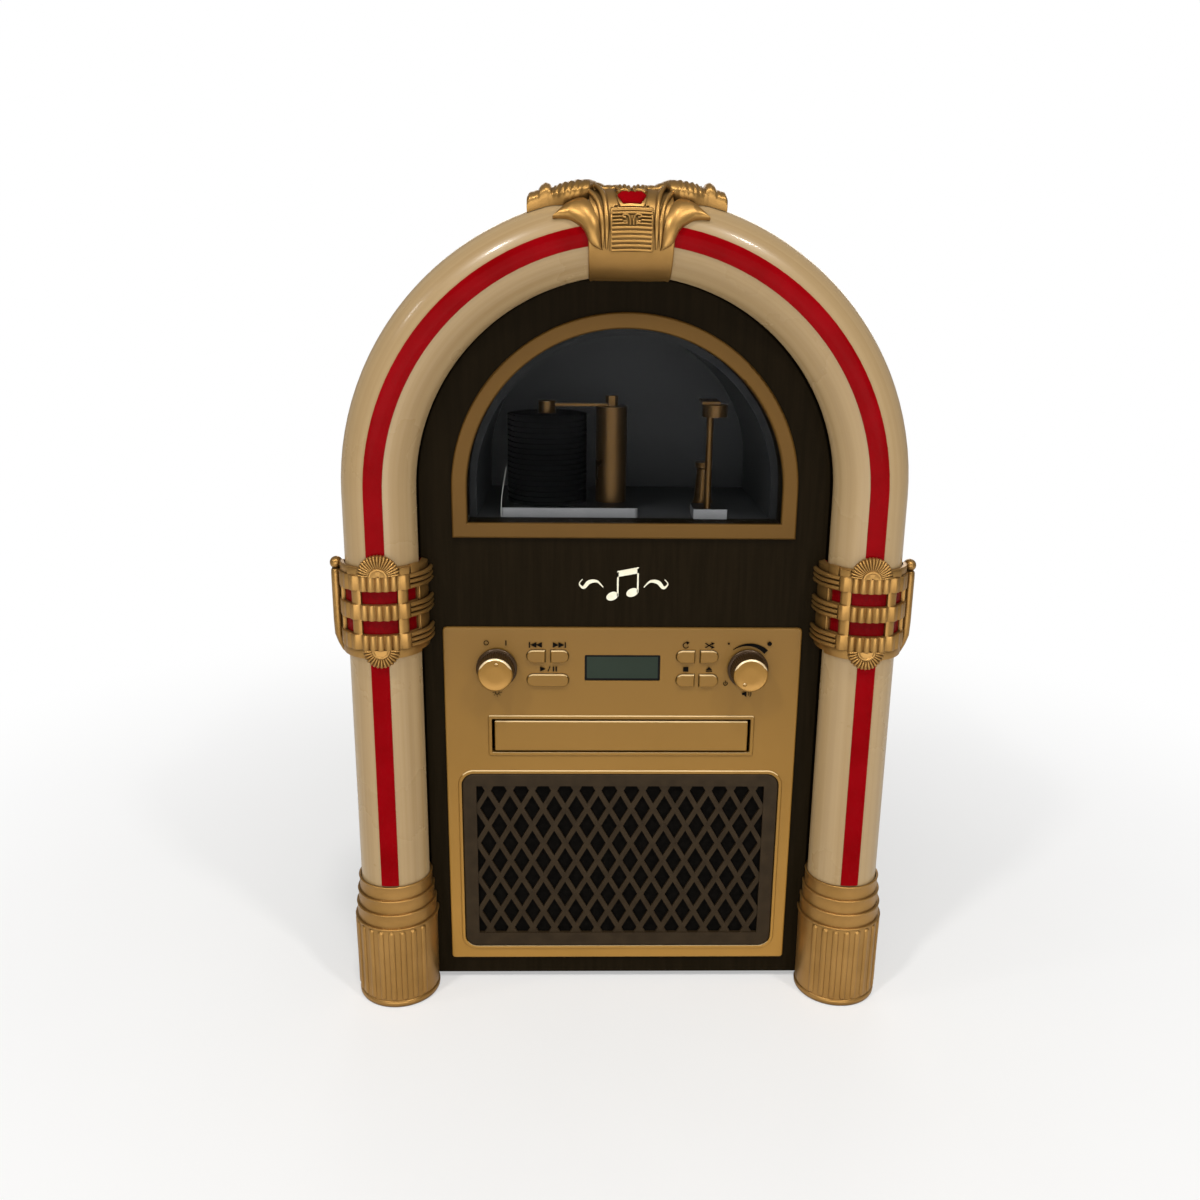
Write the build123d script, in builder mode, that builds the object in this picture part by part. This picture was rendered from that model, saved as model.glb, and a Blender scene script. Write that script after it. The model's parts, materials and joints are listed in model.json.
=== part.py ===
from build123d import *
import math
import os

# Tabletop disc jukebox.  Millimetres, +X right, +Y to the back, +Z up.
# The origin is on the table under the middle of the object.

# ---- driving dimensions -------------------------------------------------------
FACE_Y = -82.0          # front face of the baffle
BAFFLE_T = 14.0         # baffle thickness
BAFFLE_R = 113.5        # half width of the baffle, and radius of its round top
BAFFLE_BOTTOM = 4.0     # the rubber feet lift the cabinet this far
FOOT_R = 9.0
FOOT_X = 105.0
FOOT_FRONT_Y = -50.0
FOOT_BACK_Y = 90.0
SPRING_Z = 307.5        # every arch turns from straight to round at this height
SHELL_R = 141.0         # half width of the cabinet, and radius of its round top
SHELL_WALL = 9.0
SHELL_BACK_Y = 112.0
BACK_PANEL_T = 4.0
FRONT_OPENING_R = 100.0
FRONT_OPENING_BOTTOM = 30.0
CONTROL_CUT_HALF_W = 86.0     # opening in the baffle behind the controls
CONTROL_CUT_LOW_Z = 186.0
CONTROL_CUT_HIGH_Z = 224.0
TRAY_CUT_HALF_W = 77.0        # opening in the baffle for the drawer
TRAY_CUT_LOW_Z = 150.0
TRAY_CUT_HIGH_Z = 177.0
SPEAKER_CUT_R = 35.0

TUBE_X = 134.0          # the light tube's centre line
TUBE_Y = FACE_Y - 7.0
TUBE_R = 20.0
TUBE_WALL = 2.2
TUBE_FOOT_Z = 50.0
STRIP_HALF_W = 5.0
STRIP_PROUD = 0.6
STRIP_DEPTH = 2.0

PILLAR_TOP_Z = 79.0
PILLAR_RING_PITCH = 8.6
PILLAR_RING_RADII = (21.7, 22.7, 23.7)
PILLAR_LIP_R = 24.8
PILLAR_BODY_R = 23.8
PILLAR_SOCKET_R = TUBE_R + 0.3
REEDS = 10              # upright ribs round the front and outside of each pillar
REED_STEP = 15.8        # degrees from one rib to the next
REED_R = 1.7
REED_PROUD = 0.8
REED_LOW_Z = 5.6
REED_HIGH_Z = 51.0

BAND_LOW_Z = 214.0
BAND_HIGH_Z = 277.0
BAND_R = 24.5
BAND_LENS_R = 21.2
BAND_COLLAR = 6.5       # height of the collars that hide the ends of the red lens

WINDOW_R = 87.0
WINDOW_BOTTOM = 289.6
BEZEL_R = 95.6
BEZEL_BOTTOM = 281.0
PROUD = 2.4             # how far panel and bezel stand in front of the baffle
CHAMBER_R = 83.0
CHAMBER_FLANGE = 9.0
CHAMBER_WALL = 2.0
CHAMBER_BACK_Y = 40.0

PANEL_HALF_W = 102.5
PANEL_LOW_Z = 15.4
PANEL_HIGH_Z = 229.2
SLOT_HALF_W = 75.5
SLOT_LOW_Z = 152.9
SLOT_HIGH_Z = 174.0
DOOR_HALF_W = 73.8
DOOR_LOW_Z = 154.2
DOOR_HIGH_Z = 172.7
DOOR_FRONT_Y = FACE_Y - PROUD - 1.2
DOOR_T = 5.0
LCD_HALF_W = 21.7
LCD_LOW_Z = 197.4
LCD_HIGH_Z = 213.0
KNOB_X = 72.0
KNOB_Z = 205.5
GRILLE_HALF_W = 93.6
GRILLE_LOW_Z = 24.2
GRILLE_HIGH_Z = 139.2
GRILLE_CORNER_R = 7.5
LATTICE_HALF_W = 85.3
LATTICE_LOW_Z = 33.3
LATTICE_HIGH_Z = 131.5
CELL_W = 13.1
CELL_H = 22.9
BAR_W = 3.0

SPEAKER_X = 43.0
SPEAKER_Z = 81.0
BOARD_FRONT_Y = -73.0
BUTTON_H = 7.2
BUTTON_PROUD = 2.0
BUTTON_TRAVEL = 1.0
GAP = 0.3               # sliding clearance round moving pieces

DISC_Y = -10.0          # turntable axis
TRAY_HALF_W = 67.0
TRAY_BACK_Y = 96.0
TRAY_DECK_Z = 159.5     # underside of the tray's deck
TRAY_TOP_Z = 164.5
TRAY_SLOT_HALF_W = 18.0
SHELF_TOP_Z = 140.0
LOADER_FLOOR_Z = 144.5
RAIL_X = 21.0
RAIL_Z = 150.0
RAIL_R = 1.5

GEAR_MODULE = 1.0
PRESSURE_ANGLE = math.radians(20)
BACKLASH = 0.16
DRIVE_TEETH = 24
PINION_TEETH = 16
DRIVE_X = -45.0
DRIVE_Y = -48.0
DRIVE_R = GEAR_MODULE * DRIVE_TEETH / 2
PINION_R = GEAR_MODULE * PINION_TEETH / 2
PULLEY_X = DRIVE_X + DRIVE_R + PINION_R
PULLEY_R = 13.0         # belt groove of the big pulley
MOTOR_X = 12.0
MOTOR_PULLEY_R = 3.1    # belt groove of the motor pulley

PANEL_FRONT_Y = FACE_Y - PROUD
SHELL_FRONT_Y = FACE_Y + BAFFLE_T
INNER_HALF_W = SHELL_R - SHELL_WALL
INNER_FRONT_Y = SHELL_FRONT_Y + SHELL_WALL
BACK_PANEL_Y = SHELL_BACK_Y - 6.0     # the back panel sits in from the shell's rear edge
CLEAT_T = 12.0          # blocks in the shell that take the back panel's screws
SCREW_R = 1.5
SCREW_HEAD_R = 3.2
JACK_SPOTS = [(x, 34) for x in (70, 88, 104)]
JACK_R = 4.0
SCREW_SPOTS = [(side * 124, z) for side in (-1, 1) for z in (24, 160, 300)]

os.makedirs("parts", exist_ok=True)


# ---- shared helpers -----------------------------------------------------------
def facing(y):
    """Plane at depth y seen from the front: local x is +X, local y is +Z, extrude goes to -Y."""
    return Plane.XZ.offset(-y)


def arch(radius, bottom):
    """Flat arch: straight sides from bottom to SPRING_Z with a half circle on top."""
    with BuildSketch() as outline:
        with BuildLine():
            Polyline((-radius, SPRING_Z), (-radius, bottom), (radius, bottom), (radius, SPRING_Z))
            CenterArc((0, SPRING_Z), radius, 0, 180)
        make_face()
    return outline.sketch


def box_face(half_w, low, high, corner=0.0):
    """Rectangle from low to high, optionally with round corners."""
    with BuildSketch() as outline:
        with Locations((0, (low + high) / 2)):
            if corner > 0:
                RectangleRounded(2 * half_w, high - low, corner)
            else:
                Rectangle(2 * half_w, high - low)
    return outline.sketch


def tube_sweep(section, low_z):
    """Carry a section drawn round (TUBE_X, TUBE_Y) up both legs and over the arch."""
    with BuildPart() as swept:
        with BuildSketch(Plane.XY.offset(SPRING_Z)):
            add(section)
        revolve(axis=Axis((0, 0, SPRING_Z), (0, -1, 0)), revolution_arc=180)
    pieces = [swept.part]
    for side in (-1, 1):
        with BuildPart() as leg:
            with BuildSketch(Plane.XY.offset(SPRING_Z)):
                add(section)
            extrude(amount=-(SPRING_Z - low_z))
            if side < 0:
                mirror(about=Plane.YZ, mode=Mode.REPLACE)
        pieces.append(leg.part)
    with BuildPart() as joined:
        for piece in pieces:
            add(piece)
    return joined.part


def both_sides(part):
    """The part and its mirror image across the middle, as separate solids."""
    with BuildPart() as pair:
        add(part)
        mirror(about=Plane.YZ)
    return pair.part


def involute(angle):
    return math.tan(angle) - angle


def gear_tooth(teeth):
    """One involute tooth that points along local +X, rooted a little inside the root circle."""
    pitch = GEAR_MODULE * teeth / 2
    base = pitch * math.cos(PRESSURE_ANGLE)
    tip = pitch + GEAR_MODULE
    root = pitch - 1.25 * GEAR_MODULE
    start = max(base, root)
    half_at_pitch = math.pi / (2 * teeth) - BACKLASH / (2 * pitch)

    def flank(radius, side):
        turn = half_at_pitch + involute(PRESSURE_ANGLE) - involute(math.acos(base / radius))
        return (radius * math.cos(turn), side * radius * math.sin(turn))

    steps = [start + (tip - start) * i / 4 + 1e-6 for i in range(5)]
    upper = [flank(radius, 1) for radius in steps]
    lower = [flank(radius, -1) for radius in steps]
    inner_x = root - 0.4
    with BuildSketch() as tooth:
        with BuildLine():
            Spline(*upper)
            ThreePointArc(upper[-1], (tip, 0), lower[-1])
            Spline(*lower)
            Polyline(upper[0], (inner_x, upper[0][1]), (inner_x, lower[0][1]), lower[0])
        make_face()
    return tooth.sketch


def gear_face(teeth, turn=0.0):
    """Whole gear outline centred on the local origin, turned by some degrees."""
    root = GEAR_MODULE * (teeth / 2 - 1.25)
    tooth = gear_tooth(teeth)
    with BuildSketch() as outline:
        Circle(root)
        with PolarLocations(0, teeth, start_angle=turn):
            add(tooth)
    return outline.sketch


# ---- cabinet --------------------------------------------------------------------
with BuildPart() as front_baffle:
    with BuildSketch(facing(FACE_Y)):
        add(arch(BAFFLE_R, BAFFLE_BOTTOM))
        add(arch(WINDOW_R, WINDOW_BOTTOM), mode=Mode.SUBTRACT)
        add(box_face(CONTROL_CUT_HALF_W, CONTROL_CUT_LOW_Z, CONTROL_CUT_HIGH_Z), mode=Mode.SUBTRACT)
        add(box_face(TRAY_CUT_HALF_W, TRAY_CUT_LOW_Z, TRAY_CUT_HIGH_Z), mode=Mode.SUBTRACT)
        with Locations((-SPEAKER_X, SPEAKER_Z), (SPEAKER_X, SPEAKER_Z)):
            Circle(SPEAKER_CUT_R, mode=Mode.SUBTRACT)
    extrude(amount=-BAFFLE_T)
front_baffle.part.label = "front_baffle"
export_step(front_baffle.part, "parts/front_baffle.step")

with BuildPart() as cabinet_shell:
    with BuildSketch(facing(SHELL_FRONT_Y)):
        add(arch(SHELL_R, BAFFLE_BOTTOM))
    extrude(amount=-(SHELL_BACK_Y - SHELL_FRONT_Y))
    with BuildSketch(facing(SHELL_FRONT_Y + SHELL_WALL)):
        add(arch(SHELL_R - SHELL_WALL, BAFFLE_BOTTOM - 1))
    extrude(amount=-(SHELL_BACK_Y - SHELL_FRONT_Y), mode=Mode.SUBTRACT)
    with BuildSketch(facing(SHELL_FRONT_Y)):
        add(arch(FRONT_OPENING_R, FRONT_OPENING_BOTTOM))
    extrude(amount=-SHELL_WALL, mode=Mode.SUBTRACT)
    with BuildSketch(facing(BACK_PANEL_Y)):
        with Locations(*SCREW_SPOTS):
            Rectangle(18, 20)
    extrude(amount=CLEAT_T)
    with BuildSketch(facing(BACK_PANEL_Y)):
        with Locations(*SCREW_SPOTS):
            Circle(SCREW_R)
    extrude(amount=CLEAT_T, mode=Mode.SUBTRACT)
    outer_rims = cabinet_shell.edges().filter_by(GeomType.CIRCLE)
    outer_rims = outer_rims.filter_by(lambda edge: abs(edge.radius - SHELL_R) < 0.01)
    fillet(outer_rims, 2.5)
cabinet_shell.part.label = "cabinet_shell"
export_step(cabinet_shell.part, "parts/cabinet_shell.step")

with BuildPart() as bottom_panel:
    with BuildSketch(Plane.XY.offset(BAFFLE_BOTTOM)):
        with Locations((0, (INNER_FRONT_Y + BACK_PANEL_Y) / 2)):
            Rectangle(2 * INNER_HALF_W, BACK_PANEL_Y - INNER_FRONT_Y)
    extrude(amount=SHELL_WALL)
bottom_panel.part.label = "bottom_panel"
export_step(bottom_panel.part, "parts/bottom_panel.step")

with BuildPart() as back_panel:
    with BuildSketch(facing(BACK_PANEL_Y + BACK_PANEL_T)):
        add(arch(INNER_HALF_W - GAP, BAFFLE_BOTTOM))
        with Locations((0, 330)):
            with GridLocations(0, 11, 1, 8):
                SlotOverall(120, 4, mode=Mode.SUBTRACT)
        with Locations((0, 70)):
            with GridLocations(0, 11, 1, 5):
                SlotOverall(90, 4, mode=Mode.SUBTRACT)
        with Locations(*SCREW_SPOTS):
            Circle(SCREW_R + 0.2, mode=Mode.SUBTRACT)
        with Locations(*JACK_SPOTS):
            Circle(JACK_R + 0.2, mode=Mode.SUBTRACT)
    extrude(amount=BACK_PANEL_T)
back_panel.part.label = "back_panel"
export_step(back_panel.part, "parts/back_panel.step")

with BuildPart() as back_screws:
    with BuildSketch(facing(BACK_PANEL_Y + BACK_PANEL_T)):
        with Locations(*SCREW_SPOTS):
            Circle(SCREW_HEAD_R)
    extrude(amount=-1.8)
    with BuildSketch(facing(BACK_PANEL_Y + BACK_PANEL_T)):
        with Locations(*SCREW_SPOTS):
            Circle(SCREW_R)
    extrude(amount=BACK_PANEL_T + CLEAT_T - 2)
    with BuildSketch(facing(BACK_PANEL_Y + BACK_PANEL_T + 1.8)):
        with Locations(*SCREW_SPOTS):
            Rectangle(4.0, 0.8)
            Rectangle(0.8, 4.0)
    extrude(amount=0.9, mode=Mode.SUBTRACT)
back_screws.part.label = "back_screws"
export_step(back_screws.part, "parts/back_screws.step")

with BuildPart() as rubber_feet:
    with BuildSketch():
        with Locations(*[(side * FOOT_X, y) for side in (-1, 1) for y in (FOOT_FRONT_Y, FOOT_BACK_Y)]):
            Circle(FOOT_R)
    extrude(amount=BAFFLE_BOTTOM)
    chamfer(rubber_feet.edges().filter_by(Plane.XY).group_by(Axis.Z)[0], 1.0)
rubber_feet.part.label = "rubber_feet"
export_step(rubber_feet.part, "parts/rubber_feet.step")

with BuildPart() as loader_shelf:
    with BuildSketch(Plane.XY.offset(SHELF_TOP_Z - 6)):
        with Locations((0, (INNER_FRONT_Y + BACK_PANEL_Y) / 2)):
            Rectangle(2 * INNER_HALF_W, BACK_PANEL_Y - INNER_FRONT_Y)
    extrude(amount=6)
loader_shelf.part.label = "loader_shelf"
export_step(loader_shelf.part, "parts/loader_shelf.step")


# ---- light tube -----------------------------------------------------------------
with BuildSketch() as strip_section:
    with Locations((TUBE_X, TUBE_Y)):
        Circle(TUBE_R + STRIP_PROUD)
    with Locations((TUBE_X, TUBE_Y - TUBE_R + STRIP_DEPTH - 10)):
        Rectangle(2 * STRIP_HALF_W, 20, mode=Mode.INTERSECT)

with BuildSketch() as tube_section:
    with Locations((TUBE_X, TUBE_Y)):
        Circle(TUBE_R)
        Circle(TUBE_R - TUBE_WALL - 0.6, mode=Mode.SUBTRACT)
    add(strip_section.sketch, mode=Mode.SUBTRACT)

light_tube = BuildPart()
with light_tube:
    add(tube_sweep(tube_section.sketch, TUBE_FOOT_Z))
light_tube.part.label = "light_tube"
export_step(light_tube.part, "parts/light_tube.step")

red_strip = BuildPart()
with red_strip:
    add(tube_sweep(strip_section.sketch, PILLAR_TOP_Z + 0.5))
red_strip.part.label = "red_strip"
export_step(red_strip.part, "parts/red_strip.step")

with BuildPart() as tube_lamp:
    with BuildSketch(Plane.XY.offset(30)):
        with Locations((TUBE_X, TUBE_Y)):
            Circle(9)
    extrude(amount=24)
    with Locations((TUBE_X, TUBE_Y, 62)):
        Sphere(8)
    with BuildSketch(Plane.XY.offset(54)):
        with Locations((TUBE_X, TUBE_Y)):
            Circle(5)
    extrude(amount=8)
tube_lamps = BuildPart()
with tube_lamps:
    add(both_sides(tube_lamp.part))
tube_lamps.part.label = "tube_lamps"
export_step(tube_lamps.part, "parts/tube_lamps.step")


# ---- pillars --------------------------------------------------------------------
def pillar_profile():
    """Half section of the pillar in local x (radius) and y (height)."""
    ring_low = PILLAR_TOP_Z - PILLAR_RING_PITCH * len(PILLAR_RING_RADII)
    with BuildSketch() as profile:
        with BuildLine():
            points = [(0, 30), (0, 0), (PILLAR_BODY_R - 2, 0), (PILLAR_BODY_R, 1.4)]
            points += [(PILLAR_BODY_R, ring_low - 1.6)]
            points += [(PILLAR_LIP_R, ring_low - 0.8), (PILLAR_LIP_R - 0.3, ring_low)]
            for step, radius in enumerate(reversed(PILLAR_RING_RADII)):
                top = ring_low + (step + 1) * PILLAR_RING_PITCH
                points += [(radius - 0.5, top - PILLAR_RING_PITCH), (radius - 0.5, top - 1.6)]
                points += [(radius, top - 0.8), (radius - 0.3, top)]
            points += [(PILLAR_SOCKET_R, PILLAR_TOP_Z), (PILLAR_SOCKET_R, TUBE_FOOT_Z - 1)]
            points += [(10, TUBE_FOOT_Z - 1), (10, 30), (0, 30)]
            Polyline(*points)
        make_face()
    return profile.sketch


with BuildPart() as pillar:
    with BuildSketch(Plane(origin=(TUBE_X, TUBE_Y, 0), x_dir=(1, 0, 0), z_dir=(0, -1, 0))):
        add(pillar_profile())
    revolve(axis=Axis((TUBE_X, TUBE_Y, 0), (0, 0, 1)))
    first_turn = -90 - 3 * REED_STEP      # three ribs stand inwards of the one that faces forward
    with Locations((TUBE_X, TUBE_Y, REED_LOW_Z)):
        with PolarLocations(PILLAR_BODY_R + REED_PROUD - REED_R, REEDS, first_turn, REEDS * REED_STEP):
            Cylinder(REED_R, REED_HIGH_Z - REED_LOW_Z, align=(Align.CENTER, Align.CENTER, Align.MIN))
    with Locations((TUBE_X, SHELL_FRONT_Y + 20, 50)):
        Box(80, 40, 120, mode=Mode.SUBTRACT)
    with Locations((0, FACE_Y + 20, 50)):
        Box(2 * BAFFLE_R, 40, 120, mode=Mode.SUBTRACT)

with BuildPart() as left_pillar:
    add(pillar.part)
    mirror(about=Plane.YZ, mode=Mode.REPLACE)
left_pillar.part.label = "left_pillar"
export_step(left_pillar.part, "parts/left_pillar.step")

right_pillar = pillar
right_pillar.part.label = "right_pillar"
export_step(right_pillar.part, "parts/right_pillar.step")


# ---- bands half way up the tube -------------------------------------------------
with BuildPart() as band_lens:
    with BuildSketch(Plane.XY.offset(BAND_LOW_Z + BAND_COLLAR)):
        with Locations((TUBE_X, TUBE_Y)):
            Circle(BAND_LENS_R)
            Circle(TUBE_R + STRIP_PROUD + 0.1, mode=Mode.SUBTRACT)
        with Locations((TUBE_X, TUBE_Y - 20 + 5)):
            Rectangle(60, 40, mode=Mode.INTERSECT)
    extrude(amount=BAND_HIGH_Z - BAND_LOW_Z - 2 * BAND_COLLAR - 1)
band_lenses = BuildPart()
with band_lenses:
    add(both_sides(band_lens.part))
band_lenses.part.label = "band_lenses"
export_step(band_lenses.part, "parts/band_lenses.step")

WINDOW_ANGLES = (-64, -32, 0, 32, 64)    # degrees round the tube from straight ahead

with BuildPart() as band:
    with BuildSketch(Plane.XY.offset(BAND_LOW_Z)):
        with Locations((TUBE_X, TUBE_Y)):
            Circle(BAND_R)
        with Locations((TUBE_X + 21, TUBE_Y)):
            Rectangle(14, 10)
        with Locations((TUBE_X - 22, TUBE_Y + 3)):
            Rectangle(16, 8)
        with Locations((TUBE_X, TUBE_Y)):
            Circle(BAND_LENS_R + 0.1, mode=Mode.SUBTRACT)
        with Locations((TUBE_X - 40, FACE_Y + 30)):
            Rectangle(80, 60, mode=Mode.SUBTRACT)
        with Locations((TUBE_X, SHELL_FRONT_Y + 29)):
            Rectangle(80, 60, mode=Mode.SUBTRACT)
    extrude(amount=BAND_HIGH_Z - BAND_LOW_Z)
    for angle in WINDOW_ANGLES:
        spot = Plane(origin=(TUBE_X, TUBE_Y, 0), x_dir=(math.cos(math.radians(angle)),
                     math.sin(math.radians(angle)), 0),
                     z_dir=(math.sin(math.radians(angle)), -math.cos(math.radians(angle)), 0))
        with BuildSketch(spot.offset(BAND_LENS_R - 1)):
            with Locations((0, 251.5), (0, 236.5)):
                SlotOverall(9, 6, rotation=90)
        extrude(amount=8, mode=Mode.SUBTRACT)

with BuildPart() as left_band:
    add(band.part)
    mirror(about=Plane.YZ, mode=Mode.REPLACE)
left_band.part.label = "left_band"
export_step(left_band.part, "parts/left_band.step")

right_band = band
right_band.part.label = "right_band"
export_step(right_band.part, "parts/right_band.step")


# ---- crest over the tube --------------------------------------------------------
STRAP_HALF_W = 21.0
WING_HALF_W = 52.0
CREST_TOP_Z = 468.0
CREST_BACK_Y = -77.0

with BuildSketch() as tube_clearance:
    with Locations((TUBE_X, TUBE_Y)):
        Circle(TUBE_R + STRIP_PROUD + 0.2)
tube_room = tube_sweep(tube_clearance.sketch, SPRING_Z - 1)

with BuildPart() as crest:
    with BuildSketch(Plane.YZ.offset(-STRAP_HALF_W)):
        with Locations((TUBE_Y, SPRING_Z + TUBE_X)):
            Circle(TUBE_R + 5.5)
        with Locations((TUBE_Y - 15, SPRING_Z + TUBE_X)):
            Rectangle(30 + 10, 80, mode=Mode.INTERSECT)
    extrude(amount=2 * STRAP_HALF_W)
    with BuildSketch(facing(CREST_BACK_Y)):
        with BuildLine():
            left_wing = ThreePointArc((0, CREST_TOP_Z - 1), (-26, CREST_TOP_Z), (-WING_HALF_W, 463))
            dip = Line(left_wing @ 1, (-WING_HALF_W + 8, 446))
            foot = Line(dip @ 1, (-STRAP_HALF_W, 436))
            base = Line(foot @ 1, (STRAP_HALF_W, 436))
            right_foot = Line(base @ 1, (WING_HALF_W - 8, 446))
            right_dip = Line(right_foot @ 1, (WING_HALF_W, 463))
            ThreePointArc(right_dip @ 1, (26, CREST_TOP_Z), (0, CREST_TOP_Z - 1))
        make_face()
    extrude(amount=28)
    add(tube_room, mode=Mode.SUBTRACT)
    with Locations((0, -103, 461)):
        Box(15, 6, 6.5, mode=Mode.SUBTRACT)
crest.part.label = "crest"
export_step(crest.part, "parts/crest.step")

with BuildPart() as crest_jewel:
    with BuildSketch(facing(-101)):
        with Locations((0, 461)):
            Ellipse(7.2, 3.0)
    extrude(amount=4.5, taper=20)
crest_jewel.part.label = "crest_jewel"
export_step(crest_jewel.part, "parts/crest_jewel.step")


# ---- window and display ---------------------------------------------------------
with BuildPart() as window_bezel:
    with BuildSketch(facing(FACE_Y)):
        add(arch(BEZEL_R, BEZEL_BOTTOM))
        add(arch(WINDOW_R, WINDOW_BOTTOM), mode=Mode.SUBTRACT)
    extrude(amount=PROUD)
    front_edges = window_bezel.faces().sort_by(Axis.Y)[0].edges()
    fillet(front_edges, 1.2)
window_bezel.part.label = "window_bezel"
export_step(window_bezel.part, "parts/window_bezel.step")

with BuildPart() as window_pane:
    with BuildSketch(facing(FACE_Y + 0.2)):
        add(arch(WINDOW_R - 0.2, WINDOW_BOTTOM + 0.2))
    extrude(amount=-1.8)
window_pane.part.label = "window_pane"
export_step(window_pane.part, "parts/window_pane.step")

with BuildPart() as display_chamber:
    with BuildSketch(facing(SHELL_FRONT_Y)):
        add(arch(CHAMBER_R + CHAMBER_FLANGE, WINDOW_BOTTOM - CHAMBER_FLANGE))
    extrude(amount=-CHAMBER_WALL)
    with BuildSketch(facing(SHELL_FRONT_Y)):
        add(arch(CHAMBER_R + CHAMBER_WALL, WINDOW_BOTTOM - CHAMBER_WALL))
    extrude(amount=-(CHAMBER_BACK_Y + CHAMBER_WALL - SHELL_FRONT_Y))
    with BuildSketch(facing(SHELL_FRONT_Y)):
        add(arch(CHAMBER_R, WINDOW_BOTTOM))
    extrude(amount=-(CHAMBER_BACK_Y - SHELL_FRONT_Y), mode=Mode.SUBTRACT)
display_chamber.part.label = "display_chamber"
export_step(display_chamber.part, "parts/display_chamber.step")

PLATE_X = -31.0
PLATE_Y = -32.0
PLATE_W = 78.0
PLATE_D = 70.0
STACK_X = -44.0
STACK_Y = -42.0
STACK_R = 23.0
STACK_LOW_Z = 295.0
RECORD_PITCH = 3.0
RECORDS = 17
POST_X = -6.7
POST_R = 9.0
ARM_BASE_X = 49.0
ARM_BASE_Y = -60.0
ARM_BASE_W = 19.0
ARM_BASE_D = 20.0
ARM_BASE_H = 5.6         # the silver block under the gripper arm

with BuildPart() as stack_plate:
    with BuildSketch(Plane.XY.offset(WINDOW_BOTTOM)):
        with Locations((PLATE_X, PLATE_Y)):
            Rectangle(PLATE_W, PLATE_D)
    extrude(amount=STACK_LOW_Z - WINDOW_BOTTOM)
    fillet(stack_plate.edges().filter_by(Axis.Z), 2)
    with BuildSketch(Plane.XY.offset(WINDOW_BOTTOM)):
        with Locations((ARM_BASE_X, ARM_BASE_Y)):
            Rectangle(ARM_BASE_W, ARM_BASE_D)
    extrude(amount=ARM_BASE_H)
stack_plate.part.label = "stack_plate"
export_step(stack_plate.part, "parts/stack_plate.step")

with BuildPart() as record_stack:
    with BuildSketch(Plane.XY.offset(STACK_LOW_Z)):
        with Locations((STACK_X, STACK_Y)):
            Circle(STACK_R - 2)
    extrude(amount=RECORDS * RECORD_PITCH)
    with Locations(*[(STACK_X, STACK_Y, STACK_LOW_Z + (i + 0.2) * RECORD_PITCH) for i in range(RECORDS)]):
        Cylinder(STACK_R, 0.6 * RECORD_PITCH, align=(Align.CENTER, Align.CENTER, Align.MIN))
record_stack.part.label = "record_stack"
export_step(record_stack.part, "parts/record_stack.step")
STACK_TOP_Z = STACK_LOW_Z + RECORDS * RECORD_PITCH

with BuildPart() as stack_post:
    with BuildSketch(Plane.XY.offset(STACK_LOW_Z)):
        with Locations((POST_X, STACK_Y)):
            Circle(POST_R)
    extrude(amount=55)
    with BuildSketch(Plane.XY.offset(350)):
        with Locations((POST_X, STACK_Y)):
            RegularPolygon(3.6, 6)
    extrude(amount=6)
    with BuildSketch(Plane.XY.offset(350)):
        with Locations(((POST_X + STACK_X) / 2, STACK_Y)):
            Rectangle(POST_X - STACK_X, 4)
    extrude(amount=1.5)
    with BuildSketch(Plane.XY.offset(STACK_TOP_Z)):
        with Locations((STACK_X, STACK_Y)):
            Circle(5)
    extrude(amount=7)
stack_post.part.label = "stack_post"
export_step(stack_post.part, "parts/stack_post.step")

ROD_X = 47.5
ROD_Y = -66.0

with BuildPart() as gripper_arm:
    with BuildSketch(Plane.XY.offset(WINDOW_BOTTOM + ARM_BASE_H)):
        with Locations((ROD_X, ROD_Y)):
            Circle(2)
    extrude(amount=52)
    with BuildSketch(Plane.XY.offset(347)):
        with Locations((50, ROD_Y)):
            Circle(7)
    extrude(amount=6.5)
    with BuildSketch(Plane.XY.offset(353.5)):
        with Locations((48, ROD_Y + 10)):
            Rectangle(10, 20)
    extrude(amount=1.5)
gripper_arm.part.label = "gripper_arm"
export_step(gripper_arm.part, "parts/gripper_arm.step")

with BuildPart() as cone_post:
    with BuildSketch(Plane(origin=(48, -38, WINDOW_BOTTOM), x_dir=(1, 0, 0), z_dir=(0, -1, 0))):
        with BuildLine():
            Polyline((0, 0), (8, 0), (5.5, 6), (3.8, 24), (5.2, 25), (5.2, 28), (0, 28), (0, 0))
        make_face()
    revolve(axis=Axis((48, -38, WINDOW_BOTTOM), (0, 0, 1)))
cone_post.part.label = "cone_post"
export_step(cone_post.part, "parts/cone_post.step")


# ---- control panel --------------------------------------------------------------
BUTTONS = {
    # name: (centre x, centre z, width, round left end, round right end)
    "skip_back_button": (-49.6, 212.3, 10.3, True, False),
    "skip_forward_button": (-36.0, 212.3, 10.0, False, True),
    "play_pause_button": (-42.8, 197.9, 23.7, True, True),
    "program_button": (36.1, 212.3, 10.3, True, False),
    "random_button": (49.7, 212.3, 10.1, False, True),
    "stop_button": (36.2, 197.9, 10.2, True, False),
    "eject_button": (49.7, 197.9, 10.7, False, True),
}


def button_face(spec, grow=0.0):
    """Button outline: each end is a half circle or square, grown all round by a margin."""
    x, z, width, round_left, round_right = spec
    half_h = BUTTON_H / 2 + grow
    left = x - width / 2 - grow
    right = x + width / 2 + grow
    with BuildSketch() as outline:
        with Locations(((left + right) / 2, z)):
            Rectangle(right - left, 2 * half_h)
        for is_round, edge_x, inward in ((round_left, left, 1), (round_right, right, -1)):
            if is_round:
                with Locations((edge_x + inward * half_h / 2, z)):
                    Rectangle(half_h, 2 * half_h, mode=Mode.SUBTRACT)
                with Locations((edge_x + inward * half_h, z)):
                    Circle(half_h)
    return outline.sketch


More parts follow.
